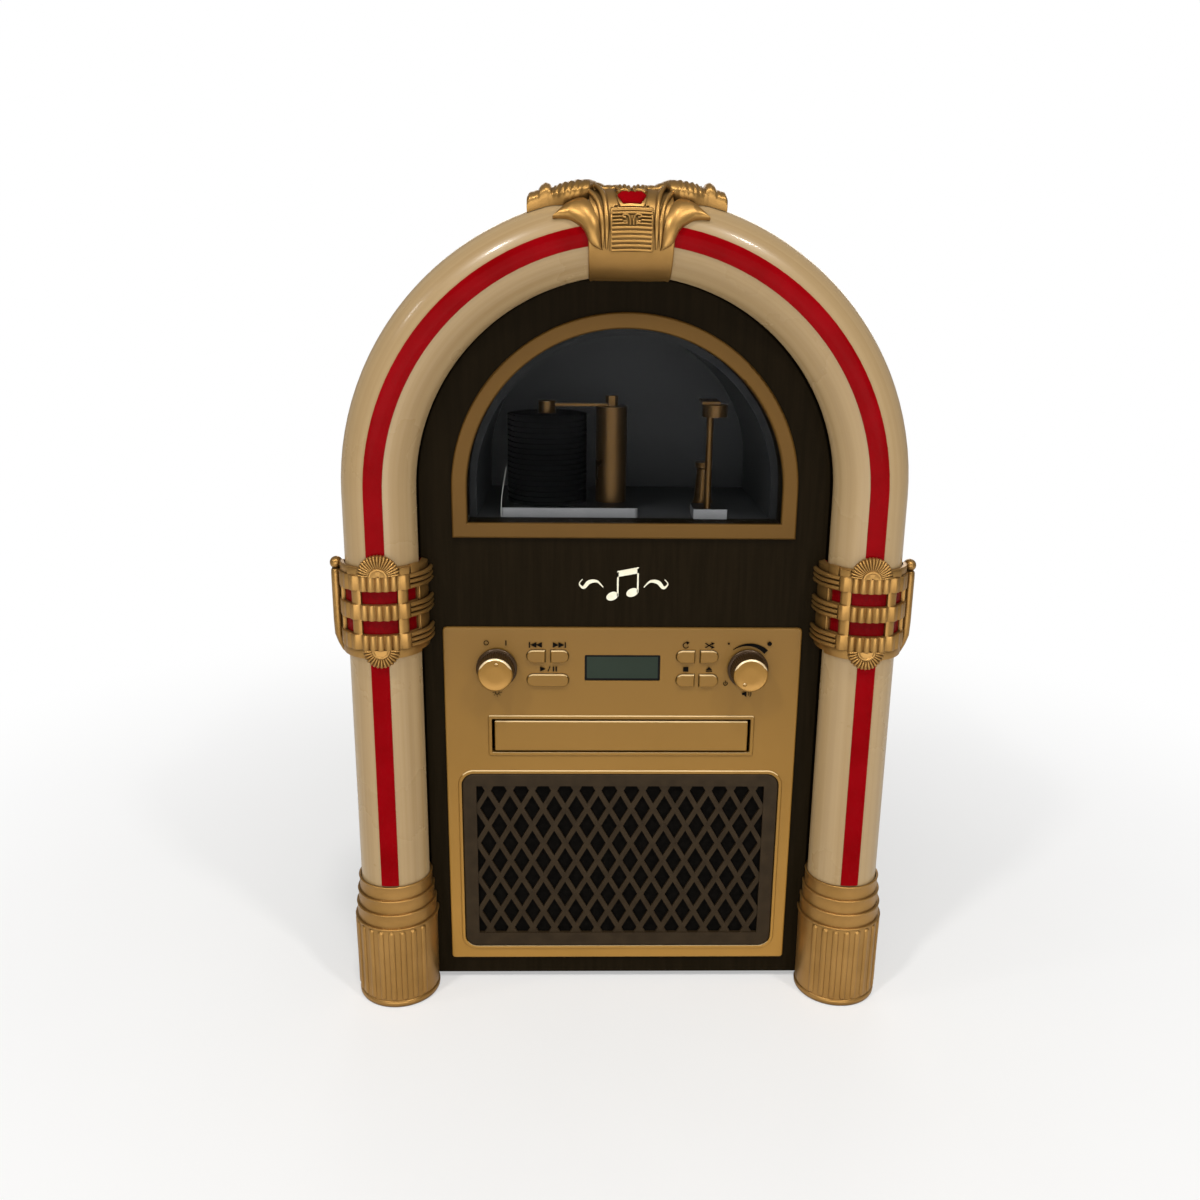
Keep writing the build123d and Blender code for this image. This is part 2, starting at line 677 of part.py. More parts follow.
with BuildPart() as control_panel:
    with BuildSketch(facing(FACE_Y)):
        add(box_face(PANEL_HALF_W, PANEL_LOW_Z, PANEL_HIGH_Z, 2))
    extrude(amount=PROUD)
    front_edges = control_panel.faces().sort_by(Axis.Y)[0].edges()
    fillet(front_edges, 1.0)
    with BuildSketch(facing(PANEL_FRONT_Y + 0.2)):
        add(box_face(SLOT_HALF_W + 2.2, SLOT_LOW_Z - 2.2, SLOT_HIGH_Z + 2.2, 1.5))
        add(box_face(GRILLE_HALF_W + 2.4, GRILLE_LOW_Z - 2.4, GRILLE_HIGH_Z + 2.4, GRILLE_CORNER_R + 2))
    extrude(amount=1.0, taper=30)
    with BuildSketch(facing(FACE_Y)):
        add(box_face(SLOT_HALF_W, SLOT_LOW_Z, SLOT_HIGH_Z, 0.8))
        add(box_face(GRILLE_HALF_W + 0.3, GRILLE_LOW_Z - 0.3, GRILLE_HIGH_Z + 0.3, GRILLE_CORNER_R))
        add(box_face(LCD_HALF_W, LCD_LOW_Z, LCD_HIGH_Z, 0.8))
        with Locations((-KNOB_X, KNOB_Z), (KNOB_X, KNOB_Z)):
            Circle(3.7)
        for spec in BUTTONS.values():
            add(button_face(spec, GAP))
    extrude(amount=PROUD + 3, mode=Mode.SUBTRACT)
control_panel.part.label = "control_panel"
export_step(control_panel.part, "parts/control_panel.step")

with BuildPart() as display_lens:
    with BuildSketch(facing(FACE_Y)):
        add(box_face(LCD_HALF_W - 0.1, LCD_LOW_Z + 0.1, LCD_HIGH_Z - 0.1, 0.8))
    extrude(amount=1.6)
display_lens.part.label = "display_lens"
export_step(display_lens.part, "parts/display_lens.step")

with BuildPart() as display_module:
    with BuildSketch(facing(FACE_Y)):
        add(box_face(25, 194.5, 216))
    extrude(amount=FACE_Y - BOARD_FRONT_Y)
display_module.part.label = "display_module"
export_step(display_module.part, "parts/display_module.step")

with BuildPart() as control_board:
    with BuildSketch(facing(BOARD_FRONT_Y)):
        add(box_face(84, 188, 222))
        with Locations((-KNOB_X, KNOB_Z), (KNOB_X, KNOB_Z)):
            Circle(3.6, mode=Mode.SUBTRACT)
    extrude(amount=-1.6)
control_board.part.label = "control_board"
export_step(control_board.part, "parts/control_board.step")

SWITCH_BODY_Y = BOARD_FRONT_Y - 4.0
SWITCH_TOP_Y = SWITCH_BODY_Y - 0.8
STEM_END_Y = SWITCH_TOP_Y - BUTTON_TRAVEL - 0.05

with BuildPart() as tact_switches:
    with BuildSketch(facing(BOARD_FRONT_Y)):
        with Locations(*[(spec[0], spec[1]) for spec in BUTTONS.values()]):
            Rectangle(6, 6)
    extrude(amount=4)
    with BuildSketch(facing(SWITCH_BODY_Y)):
        with Locations(*[(spec[0], spec[1]) for spec in BUTTONS.values()]):
            Circle(1.6)
    extrude(amount=0.8)
tact_switches.part.label = "tact_switches"
export_step(tact_switches.part, "parts/tact_switches.step")

for name, spec in BUTTONS.items():
    with BuildPart() as button:
        with BuildSketch(facing(FACE_Y + 0.4)):
            add(button_face(spec))
        extrude(amount=0.4 + PROUD + BUTTON_PROUD)
        fillet(button.faces().sort_by(Axis.Y)[0].edges(), 0.7)
        with BuildSketch(facing(FACE_Y + 1.2)):
            add(button_face(spec, 0.9))
        extrude(amount=0.8)
        with BuildSketch(facing(FACE_Y + 1.2)):
            with Locations((spec[0], spec[1])):
                Circle(1.5)
        extrude(amount=-(STEM_END_Y - FACE_Y - 1.2))
    button.part.label = name
    export_step(button.part, f"parts/{name}.step")

KNOB_BASE_R = 11.7
KNOB_TOP_R = 9.4
KNOB_LEN = 14.0
SHAFT_R = 3.0
KNOB_BACK_Y = PANEL_FRONT_Y - 0.3

with BuildPart() as rotary_controls:
    with BuildSketch(facing(FACE_Y)):
        with Locations((-KNOB_X, KNOB_Z), (KNOB_X, KNOB_Z)):
            Rectangle(16, 16)
    extrude(amount=FACE_Y - BOARD_FRONT_Y)
    with BuildSketch(facing(FACE_Y)):
        with Locations((-KNOB_X, KNOB_Z), (KNOB_X, KNOB_Z)):
            Circle(3.6)
    extrude(amount=PROUD)
    with BuildSketch(facing(BOARD_FRONT_Y - 1)):
        with Locations((-KNOB_X, KNOB_Z), (KNOB_X, KNOB_Z)):
            Circle(SHAFT_R + 0.05)
    extrude(amount=20, mode=Mode.SUBTRACT)
rotary_controls.part.label = "rotary_controls"
export_step(rotary_controls.part, "parts/rotary_controls.step")

for name, side in (("light_knob", -1), ("volume_knob", 1)):
    with BuildPart() as knob:
        with BuildSketch(facing(KNOB_BACK_Y)):
            with Locations((side * KNOB_X, KNOB_Z)):
                Circle(KNOB_BASE_R)
        extrude(amount=2.2)
        with BuildSketch(facing(KNOB_BACK_Y - 2.2)):
            with Locations((side * KNOB_X, KNOB_Z)):
                Circle(KNOB_BASE_R - 1.2)
        extrude(amount=KNOB_LEN - 2.2, taper=math.degrees(math.atan(1.1 / (KNOB_LEN - 2.2))))
        fillet(knob.faces().sort_by(Axis.Y)[0].edges(), 1.2)
        with BuildSketch(facing(KNOB_BACK_Y)):
            with Locations((side * KNOB_X, KNOB_Z)):
                Circle(KNOB_BASE_R - 3.5)
                Circle(5, mode=Mode.SUBTRACT)
        extrude(amount=KNOB_LEN - 3, mode=Mode.SUBTRACT)
        with BuildSketch(facing(KNOB_BACK_Y)):
            with Locations((side * KNOB_X, KNOB_Z)):
                Circle(SHAFT_R)
        extrude(amount=-(BOARD_FRONT_Y - 1.2 - KNOB_BACK_Y))
        turn = math.radians(90 if side < 0 else 240)
        with BuildSketch(facing(KNOB_BACK_Y - KNOB_LEN)):
            with Locations((side * KNOB_X + 6.6 * math.cos(turn), KNOB_Z + 6.6 * math.sin(turn))):
                Circle(1.0)
        extrude(amount=-0.6, mode=Mode.SUBTRACT)
    knob.part.label = name
    export_step(knob.part, f"parts/{name}.step")


# ---- speakers -------------------------------------------------------------------
with BuildPart() as speaker_grille:
    with BuildSketch(facing(FACE_Y)):
        add(box_face(GRILLE_HALF_W, GRILLE_LOW_Z, GRILLE_HIGH_Z, GRILLE_CORNER_R))
    extrude(amount=PROUD + 0.8)
    fillet(speaker_grille.faces().sort_by(Axis.Y)[0].edges(), 1.0)
    with BuildSketch(facing(FACE_Y)):
        add(box_face(GRILLE_HALF_W - 3, GRILLE_LOW_Z + 3, GRILLE_HIGH_Z - 3, 5))
    extrude(amount=1.0, mode=Mode.SUBTRACT)
    lattice_z = (LATTICE_LOW_Z + LATTICE_HIGH_Z) / 2
    slope = math.atan2(CELL_H, CELL_W)
    inset_x = BAR_W / 2 / math.sin(slope)
    inset_z = BAR_W / 2 / math.cos(slope)
    hole_half_w = CELL_W / 2 - inset_x
    hole_half_h = CELL_H / 2 - inset_z
    with BuildSketch() as diamond:
        with BuildLine():
            Polyline((hole_half_w, 0), (0, hole_half_h), (-hole_half_w, 0), (0, -hole_half_h), close=True)
        make_face()
    with BuildSketch() as diamonds:
        with Locations((0, lattice_z)):
            with GridLocations(CELL_W, CELL_H, 14, 5):
                add(diamond.sketch)
            with GridLocations(CELL_W, CELL_H, 15, 6):
                add(diamond.sketch)
        with Locations((0, lattice_z)):
            Rectangle(2 * LATTICE_HALF_W, LATTICE_HIGH_Z - LATTICE_LOW_Z, mode=Mode.INTERSECT)
    with BuildSketch(facing(FACE_Y)):
        add(diamonds.sketch)
    extrude(amount=PROUD + 2, mode=Mode.SUBTRACT)
    with BuildSketch(facing(PANEL_FRONT_Y - 0.2)):
        add(box_face(LATTICE_HALF_W, LATTICE_LOW_Z, LATTICE_HIGH_Z, 2))
    extrude(amount=2, mode=Mode.SUBTRACT)
speaker_grille.part.label = "speaker_grille"
export_step(speaker_grille.part, "parts/speaker_grille.step")

with BuildPart() as grille_cloth:
    with BuildSketch(facing(FACE_Y)):
        add(box_face(GRILLE_HALF_W - 3.4, GRILLE_LOW_Z + 3.4, GRILLE_HIGH_Z - 3.4, 5))
    extrude(amount=0.8)
grille_cloth.part.label = "grille_cloth"
export_step(grille_cloth.part, "parts/grille_cloth.step")


def speaker_ring(points):
    """Turn a half section round both speaker axes; points are (radius, distance behind the baffle)."""
    with BuildPart() as one:
        plane = Plane(origin=(SPEAKER_X, SHELL_FRONT_Y, SPEAKER_Z), x_dir=(1, 0, 0), z_dir=(0, 0, 1))
        with BuildSketch(plane):
            with BuildLine():
                Polyline(*points, close=True)
            make_face()
        revolve(axis=Axis((SPEAKER_X, SHELL_FRONT_Y, SPEAKER_Z), (0, 1, 0)))
    return both_sides(one.part)


speaker_frames = BuildPart()
with speaker_frames:
    add(speaker_ring([(34, 0), (38, 0), (38, 2), (35, 2), (24, 18), (8.2, 18), (8.2, 16.5), (23, 16.5),
                      (33.5, 1.5)]))
speaker_frames.part.label = "speaker_frames"
export_step(speaker_frames.part, "parts/speaker_frames.step")

speaker_cones = BuildPart()
with speaker_cones:
    add(speaker_ring([(33, 0.4), (30, -0.8), (28, 1), (8, 13), (0, 9.5), (0, 10.3), (8, 14), (28.4, 2),
                      (32.4, 1.4)]))
speaker_cones.part.label = "speaker_cones"
export_step(speaker_cones.part, "parts/speaker_cones.step")

speaker_magnets = BuildPart()
with speaker_magnets:
    add(speaker_ring([(0, 18), (22, 18), (22, 32), (0, 32)]))
speaker_magnets.part.label = "speaker_magnets"
export_step(speaker_magnets.part, "parts/speaker_magnets.step")


# ---- disc drawer ----------------------------------------------------------------
DOOR_BACK_Y = DOOR_FRONT_Y + DOOR_T
RACK_PITCH_X = DRIVE_X - DRIVE_R
RACK_LOW_Z = 154.9
TOOTH_PITCH = math.pi * GEAR_MODULE

with BuildPart() as tray_door:
    with BuildSketch(facing(DOOR_BACK_Y)):
        add(box_face(DOOR_HALF_W, DOOR_LOW_Z, DOOR_HIGH_Z, 0.8))
    extrude(amount=DOOR_T)
    fillet(tray_door.faces().sort_by(Axis.Y)[0].edges(), 1.0)
tray_door.part.label = "tray_door"
export_step(tray_door.part, "parts/tray_door.step")

with BuildPart() as disc_tray:
    with BuildSketch(Plane.XY.offset(TRAY_DECK_Z)):
        with Locations((0, (DOOR_BACK_Y + TRAY_BACK_Y) / 2)):
            Rectangle(2 * TRAY_HALF_W, TRAY_BACK_Y - DOOR_BACK_Y)
    extrude(amount=TRAY_TOP_Z - TRAY_DECK_Z)
    with BuildSketch(Plane.XY.offset(TRAY_DECK_Z + 2)):
        with Locations((0, DISC_Y)):
            Circle(60.8)
    extrude(amount=10, mode=Mode.SUBTRACT)
    with BuildSketch(Plane.XY.offset(TRAY_DECK_Z + 1)):
        with Locations((0, DISC_Y)):
            Circle(40.8)
    extrude(amount=10, mode=Mode.SUBTRACT)
    slot_front_y = DISC_Y - 18
    with BuildSketch(Plane.XY.offset(TRAY_DECK_Z)):
        with Locations((0, (slot_front_y + TRAY_BACK_Y) / 2 + 9)):
            Rectangle(2 * TRAY_SLOT_HALF_W, TRAY_BACK_Y - slot_front_y)
        with Locations((0, DISC_Y)):
            Circle(TRAY_SLOT_HALF_W)
    extrude(amount=10, mode=Mode.SUBTRACT)
    for side in (-1, 1):
        with Locations((side * TRAY_HALF_W, (DOOR_BACK_Y + TRAY_BACK_Y) / 2, TRAY_TOP_Z)):
            Box(7, TRAY_BACK_Y - DOOR_BACK_Y, 3, mode=Mode.SUBTRACT)
    with BuildSketch(Plane.XY.offset(RACK_LOW_Z)):
        with Locations((RACK_PITCH_X - 1.25 * GEAR_MODULE - 1.4, (DRIVE_Y - 16 + TRAY_BACK_Y) / 2)):
            Rectangle(2.8, TRAY_BACK_Y - DRIVE_Y + 16)
        half = TOOTH_PITCH / 4 - BACKLASH / 2
        lean = math.tan(PRESSURE_ANGLE) * GEAR_MODULE
        foot = half + 1.25 * lean
        with BuildLine():
            Polyline((-1.3, -foot), (1, lean - half), (1, half - lean), (-1.3, foot), close=True)
        tooth = make_face(mode=Mode.PRIVATE)
        first = -4
        last = int((TRAY_BACK_Y - DRIVE_Y) / TOOTH_PITCH) - 1
        spots = [(RACK_PITCH_X, DRIVE_Y + (i + 0.5) * TOOTH_PITCH) for i in range(first, last)]
        with Locations(*spots):
            add(tooth)
    extrude(amount=TRAY_DECK_Z - RACK_LOW_Z)
disc_tray.part.label = "disc_tray"
export_step(disc_tray.part, "parts/disc_tray.step")

with BuildPart() as drive_gear:
    with BuildSketch(Plane.XY.offset(150)):
        with Locations((DRIVE_X, DRIVE_Y)):
            add(gear_face(DRIVE_TEETH, 0))
            Circle(2.55, mode=Mode.SUBTRACT)
    extrude(amount=9)
drive_gear.part.label = "drive_gear"
export_step(drive_gear.part, "parts/drive_gear.step")

with BuildPart() as pulley_gear:
    with BuildSketch(Plane.XY.offset(145.5)):
        with Locations((PULLEY_X, DRIVE_Y)):
            Circle(PULLEY_R)
    extrude(amount=4)
    for low in (145.5, 148.7):
        with BuildSketch(Plane.XY.offset(low)):
            with Locations((PULLEY_X, DRIVE_Y)):
                Circle(PULLEY_R + 1.5)
        extrude(amount=0.8)
    with BuildSketch(Plane.XY.offset(149.5)):
        with Locations((PULLEY_X, DRIVE_Y)):
            add(gear_face(PINION_TEETH, 180 / PINION_TEETH))
    extrude(amount=5)
    with BuildSketch(Plane.XY.offset(145)):
        with Locations((PULLEY_X, DRIVE_Y)):
            Circle(2.55)
    extrude(amount=10, mode=Mode.SUBTRACT)
pulley_gear.part.label = "pulley_gear"
export_step(pulley_gear.part, "parts/pulley_gear.step")

with BuildPart() as motor_pulley:
    with BuildSketch(Plane.XY.offset(145.5)):
        with Locations((MOTOR_X, DRIVE_Y)):
            Circle(MOTOR_PULLEY_R)
    extrude(amount=4.5)
    for low in (145.5, 148.7):
        with BuildSketch(Plane.XY.offset(low)):
            with Locations((MOTOR_X, DRIVE_Y)):
                Circle(MOTOR_PULLEY_R + 1.5)
        extrude(amount=0.8)
    with BuildSketch(Plane.XY.offset(150)):
        with Locations((MOTOR_X, DRIVE_Y)):
            Circle(1.0)
    extrude(amount=4)
motor_pulley.part.label = "motor_pulley"
export_step(motor_pulley.part, "parts/motor_pulley.step")

with BuildPart() as drive_belt:
    with BuildSketch(Plane.XY.offset(146.7)):
        with Locations((PULLEY_X, DRIVE_Y)):
            Circle(PULLEY_R + 1.3)
        with Locations((MOTOR_X, DRIVE_Y)):
            Circle(MOTOR_PULLEY_R + 1.3)
        make_hull()
    extrude(amount=1.6)
    with BuildSketch(Plane.XY.offset(146.7)):
        with Locations((PULLEY_X, DRIVE_Y)):
            Circle(PULLEY_R + 0.1)
        with Locations((MOTOR_X, DRIVE_Y)):
            Circle(MOTOR_PULLEY_R + 0.1)
        make_hull()
    extrude(amount=1.6, mode=Mode.SUBTRACT)
drive_belt.part.label = "drive_belt"
export_step(drive_belt.part, "parts/drive_belt.step")

with BuildPart() as loading_motor:
    with BuildSketch(Plane.XY.offset(150.4)):
        with Locations((MOTOR_X, DRIVE_Y)):
            Circle(10)
            Circle(1.1, mode=Mode.SUBTRACT)
    extrude(amount=8.2)
loading_motor.part.label = "loading_motor"
export_step(loading_motor.part, "parts/loading_motor.step")

FRAME_INNER_X = TRAY_HALF_W + 1.5
FRAME_OUTER_X = FRAME_INNER_X + 3.5
FRAME_FRONT_Y = SHELL_FRONT_Y
FRAME_BACK_Y = TRAY_BACK_Y + 2
BRIDGE_Z = 171.0
SLED_TRAVEL = 34.0
SLED_LEN = 30.0
SLED_FRONT_Y = DISC_Y + 16
ROD_BACK_Y = SLED_FRONT_Y + SLED_LEN + SLED_TRAVEL + 1

with BuildPart() as loader_frame:
    frame_mid_y = (FRAME_FRONT_Y + FRAME_BACK_Y) / 2
    frame_len = FRAME_BACK_Y - FRAME_FRONT_Y
    with Locations((0, frame_mid_y, SHELF_TOP_Z)):
        Box(2 * FRAME_OUTER_X, frame_len, LOADER_FLOOR_Z - SHELF_TOP_Z,
            align=(Align.CENTER, Align.CENTER, Align.MIN))
    for side in (-1, 1):
        with Locations((side * (FRAME_INNER_X + FRAME_OUTER_X) / 2, frame_mid_y, SHELF_TOP_Z)):
            Box(FRAME_OUTER_X - FRAME_INNER_X, frame_len, 38,
                align=(Align.CENTER, Align.CENTER, Align.MIN))
        for low, high in ((156.5, TRAY_DECK_Z - GAP), (TRAY_TOP_Z - 1.5 + GAP, TRAY_TOP_Z + 1)):
            with Locations((side * (FRAME_INNER_X - 2), frame_mid_y, low)):
                Box(4.4, frame_len, high - low, align=(Align.CENTER, Align.CENTER, Align.MIN))
    with Locations((0, DISC_Y, BRIDGE_Z)):
        Box(2 * FRAME_OUTER_X, 50, 3, align=(Align.CENTER, Align.CENTER, Align.MIN))
    with Locations((0, DISC_Y, BRIDGE_Z - 1)):
        Cylinder(12.6, 6, align=(Align.CENTER, Align.CENTER, Align.MIN), mode=Mode.SUBTRACT)
    for x in (DRIVE_X, PULLEY_X):
        with Locations((x, DRIVE_Y, LOADER_FLOOR_Z)):
            Cylinder(2.5, 9.5 if x == PULLEY_X else 14.3, align=(Align.CENTER, Align.CENTER, Align.MIN))
    with Locations((DRIVE_X, DRIVE_Y, LOADER_FLOOR_Z)):
        Cylinder(4.5, 5.2, align=(Align.CENTER, Align.CENTER, Align.MIN))
    with Locations((PULLEY_X, DRIVE_Y, LOADER_FLOOR_Z)):
        Cylinder(4.5, 0.7, align=(Align.CENTER, Align.CENTER, Align.MIN))
    with Locations((MOTOR_X + 12, DRIVE_Y, LOADER_FLOOR_Z)):
        Box(4, 12, 13.5, align=(Align.CENTER, Align.CENTER, Align.MIN))
    for y in (SLED_FRONT_Y - 4, ROD_BACK_Y):
        for side in (-1, 1):
            with Locations((side * RAIL_X, y + 1.5, LOADER_FLOOR_Z)):
                Box(7, 3, 8.5, align=(Align.CENTER, Align.CENTER, Align.MIN))
    for side in (-1, 1):
        with BuildSketch(facing(SLED_FRONT_Y - 5)):
            with Locations((side * RAIL_X, RAIL_Z)):
                Circle(RAIL_R)
        extrude(amount=-(ROD_BACK_Y + 10 - SLED_FRONT_Y), mode=Mode.SUBTRACT)
loader_frame.part.label = "loader_frame"
export_step(loader_frame.part, "parts/loader_frame.step")

with BuildPart() as guide_rods:
    with BuildSketch(facing(SLED_FRONT_Y - 4)):
        with Locations((-RAIL_X, RAIL_Z), (RAIL_X, RAIL_Z)):
            Circle(RAIL_R)
    extrude(amount=-(ROD_BACK_Y + 3 - SLED_FRONT_Y + 4))
guide_rods.part.label = "guide_rods"
export_step(guide_rods.part, "parts/guide_rods.step")

with BuildPart() as laser_sled:
    with BuildSketch(facing(SLED_FRONT_Y)):
        with Locations((0, 150)):
            Rectangle(52, 8)
        with Locations((-RAIL_X, RAIL_Z), (RAIL_X, RAIL_Z)):
            Circle(RAIL_R + 0.05, mode=Mode.SUBTRACT)
    extrude(amount=-SLED_LEN)
    with BuildSketch(Plane.XY.offset(154)):
        with Locations((0, SLED_FRONT_Y + 8)):
            Circle(6.5)
    extrude(amount=3)
    with BuildSketch(Plane.XY.offset(157)):
        with Locations((0, SLED_FRONT_Y + 8)):
            Circle(3)
    extrude(amount=1.2)
laser_sled.part.label = "laser_sled"
export_step(laser_sled.part, "parts/laser_sled.step")

with BuildPart() as spindle_motor:
    with BuildSketch(Plane.XY.offset(LOADER_FLOOR_Z)):
        with Locations((0, DISC_Y)):
            Circle(12)
    extrude(amount=12.5)
    with BuildSketch(Plane.XY.offset(157)):
        with Locations((0, DISC_Y)):
            Circle(1.1)
    extrude(amount=-8, mode=Mode.SUBTRACT)
spindle_motor.part.label = "spindle_motor"
export_step(spindle_motor.part, "parts/spindle_motor.step")

with BuildPart() as turntable:
    for radius, low, height in ((1.0, 150, 9), (4.5, 158, 2.4), (14, 160.4, 1.8), (7.4, 162.2, 2)):
        with BuildSketch(Plane.XY.offset(low)):
            with Locations((0, DISC_Y)):
                Circle(radius)
        extrude(amount=height)
    chamfer(turntable.edges().filter_by(GeomType.CIRCLE).group_by(Axis.Z)[-1], 0.9)
turntable.part.label = "turntable"
export_step(turntable.part, "parts/turntable.step")

with BuildPart() as disc_clamp:
    for radius, low, height in ((11.8, 166.5, 8), (15.5, 174.2, 2)):
        with BuildSketch(Plane.XY.offset(low)):
            with Locations((0, DISC_Y)):
                Circle(radius)
        extrude(amount=height)
    with BuildSketch(Plane.XY.offset(166.5)):
        with Locations((0, DISC_Y)):
            Circle(8)
    extrude(amount=3, mode=Mode.SUBTRACT)
disc_clamp.part.label = "disc_clamp"
export_step(disc_clamp.part, "parts/disc_clamp.step")


# ---- electronics ----------------------------------------------------------------
BOARD_Z = BAFFLE_BOTTOM + SHELL_WALL

with BuildPart() as main_board:
    with BuildSketch(Plane.XY.offset(BOARD_Z)):
        with Locations((30, 50)):
            with GridLocations(110, 70, 2, 2):
                Circle(3)
    extrude(amount=6)
    with BuildSketch(Plane.XY.offset(BOARD_Z + 6)):
        with Locations((30, 50)):
            Rectangle(120, 80)
    extrude(amount=1.6)
    with BuildSketch(Plane.XY.offset(BOARD_Z + 7.6)):
        with Locations((0, 30)):
            Rectangle(50, 12)
    extrude(amount=28)
    with BuildSketch(Plane.XY.offset(BOARD_Z + 7.6)):
        with Locations((40, 30), (56, 30), (72, 44)):
            Circle(6)
    extrude(amount=20)
    with BuildSketch(Plane.XY.offset(BOARD_Z + 7.6)):
        with Locations((20, 62)):
            Rectangle(22, 22)
    extrude(amount=3)
main_board.part.label = "main_board"
export_step(main_board.part, "parts/main_board.step")

with BuildPart() as rear_jacks:
    with BuildSketch(facing(BACK_PANEL_Y)):
        with Locations((87, 32)):
            Rectangle(48, 22)
    extrude(amount=14)
    with BuildSketch(facing(BACK_PANEL_Y)):
        with Locations(*JACK_SPOTS):
            Circle(JACK_R)
    extrude(amount=-9)
    with BuildSketch(facing(BACK_PANEL_Y + 9)):
        with Locations(*JACK_SPOTS):
            Circle(1.8)
    extrude(amount=9, mode=Mode.SUBTRACT)
rear_jacks.part.label = "rear_jacks"
export_step(rear_jacks.part, "parts/rear_jacks.step")
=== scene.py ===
import json
import math

import bmesh
import bpy
from mathutils import Matrix, Vector

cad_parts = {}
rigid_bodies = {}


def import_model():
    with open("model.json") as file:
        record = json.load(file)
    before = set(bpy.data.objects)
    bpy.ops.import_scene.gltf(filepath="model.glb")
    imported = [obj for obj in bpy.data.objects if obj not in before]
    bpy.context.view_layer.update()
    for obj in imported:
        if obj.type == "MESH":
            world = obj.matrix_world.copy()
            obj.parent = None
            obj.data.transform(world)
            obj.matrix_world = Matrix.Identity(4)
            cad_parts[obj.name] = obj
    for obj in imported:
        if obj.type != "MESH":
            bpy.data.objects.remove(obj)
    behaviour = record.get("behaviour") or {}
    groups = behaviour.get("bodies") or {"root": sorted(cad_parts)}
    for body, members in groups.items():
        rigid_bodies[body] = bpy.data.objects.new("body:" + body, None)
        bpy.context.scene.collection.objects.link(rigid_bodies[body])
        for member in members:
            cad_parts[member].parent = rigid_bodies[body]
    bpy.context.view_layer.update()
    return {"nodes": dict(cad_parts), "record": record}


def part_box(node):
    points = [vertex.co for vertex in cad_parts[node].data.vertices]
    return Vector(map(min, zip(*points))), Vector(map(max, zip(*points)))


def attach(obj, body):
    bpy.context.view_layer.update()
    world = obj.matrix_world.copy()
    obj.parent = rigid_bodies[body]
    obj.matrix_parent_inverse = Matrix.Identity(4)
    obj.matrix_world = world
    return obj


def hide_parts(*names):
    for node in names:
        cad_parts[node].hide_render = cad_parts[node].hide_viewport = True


for leftover in list(bpy.data.objects):
    bpy.data.objects.remove(leftover)

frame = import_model()

# ---- places taken from the CAD frame, in millimetres ----
MM = 0.001
LEFT, RIGHT = -1, 1


def low(node, axis):
    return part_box(node)[0]["xyz".index(axis)] / MM


def high(node, axis):
    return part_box(node)[1]["xyz".index(axis)] / MM


FACE_Y = low("front_baffle", "y")
PANEL_Y = low("control_panel", "y")
TUBE_X = (low("right_pillar", "x") + high("right_pillar", "x")) / 2
TUBE_R = high("light_tube", "x") - TUBE_X
TUBE_Y = high("light_tube", "y") - TUBE_R
SPRING_Z = high("light_tube", "z") - high("light_tube", "x")
TUBE_FOOT_Z = low("light_tube", "z")
PILLAR_TOP_Z = high("right_pillar", "z")
BAFFLE_HALF_W = high("front_baffle", "x")
SHELL_Y = high("front_baffle", "y")
KNOB_X = (low("volume_knob", "x") + high("volume_knob", "x")) / 2
KNOB_Z = (low("volume_knob", "z") + high("volume_knob", "z")) / 2
KNOB_FRONT_Y = low("volume_knob", "y")
KNOB_R = high("volume_knob", "x") - KNOB_X
WINDOW_FLOOR_Z = low("stack_plate", "z")


def add_object(name, data):
    """Put a mesh, a lamp or a camera into the scene."""
    thing = bpy.data.objects.new(name, data)
    bpy.context.scene.collection.objects.link(thing)
    return thing


# ---- solids built from rows of points ----
def blend_value(value, table):
    """Straight-line look-up of value in a table of (key, result) pairs."""
    if value <= table[0][0]:
        return table[0][1]
    for (key_a, out_a), (key_b, out_b) in zip(table, table[1:]):
        if value <= key_b:
            return out_a + (out_b - out_a) * (value - key_a) / (key_b - key_a)
    return table[-1][1]


def smooth_path(points, steps):
    """Points along a curve through every given point, steps per span."""
    ends = [points[0]] + list(points) + [points[-1]]
    path = []
    for i in range(1, len(ends) - 2):
        a, b, c, d = ends[i - 1], ends[i], ends[i + 1], ends[i + 2]
        for step in range(steps):
            t = step / steps
            path.append(tuple(
                0.5 * (2 * q + (r - p) * t + (2 * p - 5 * q + 4 * r - s) * t * t
                       + (3 * q - p - 3 * r + s) * t * t * t)
                for p, q, r, s in zip(a, b, c, d)))
    path.append(tuple(points[-1]))
    return path


def angles_round(count):
    """Angles spread evenly over a whole turn."""
    return [2 * math.pi * i / count for i in range(count)]


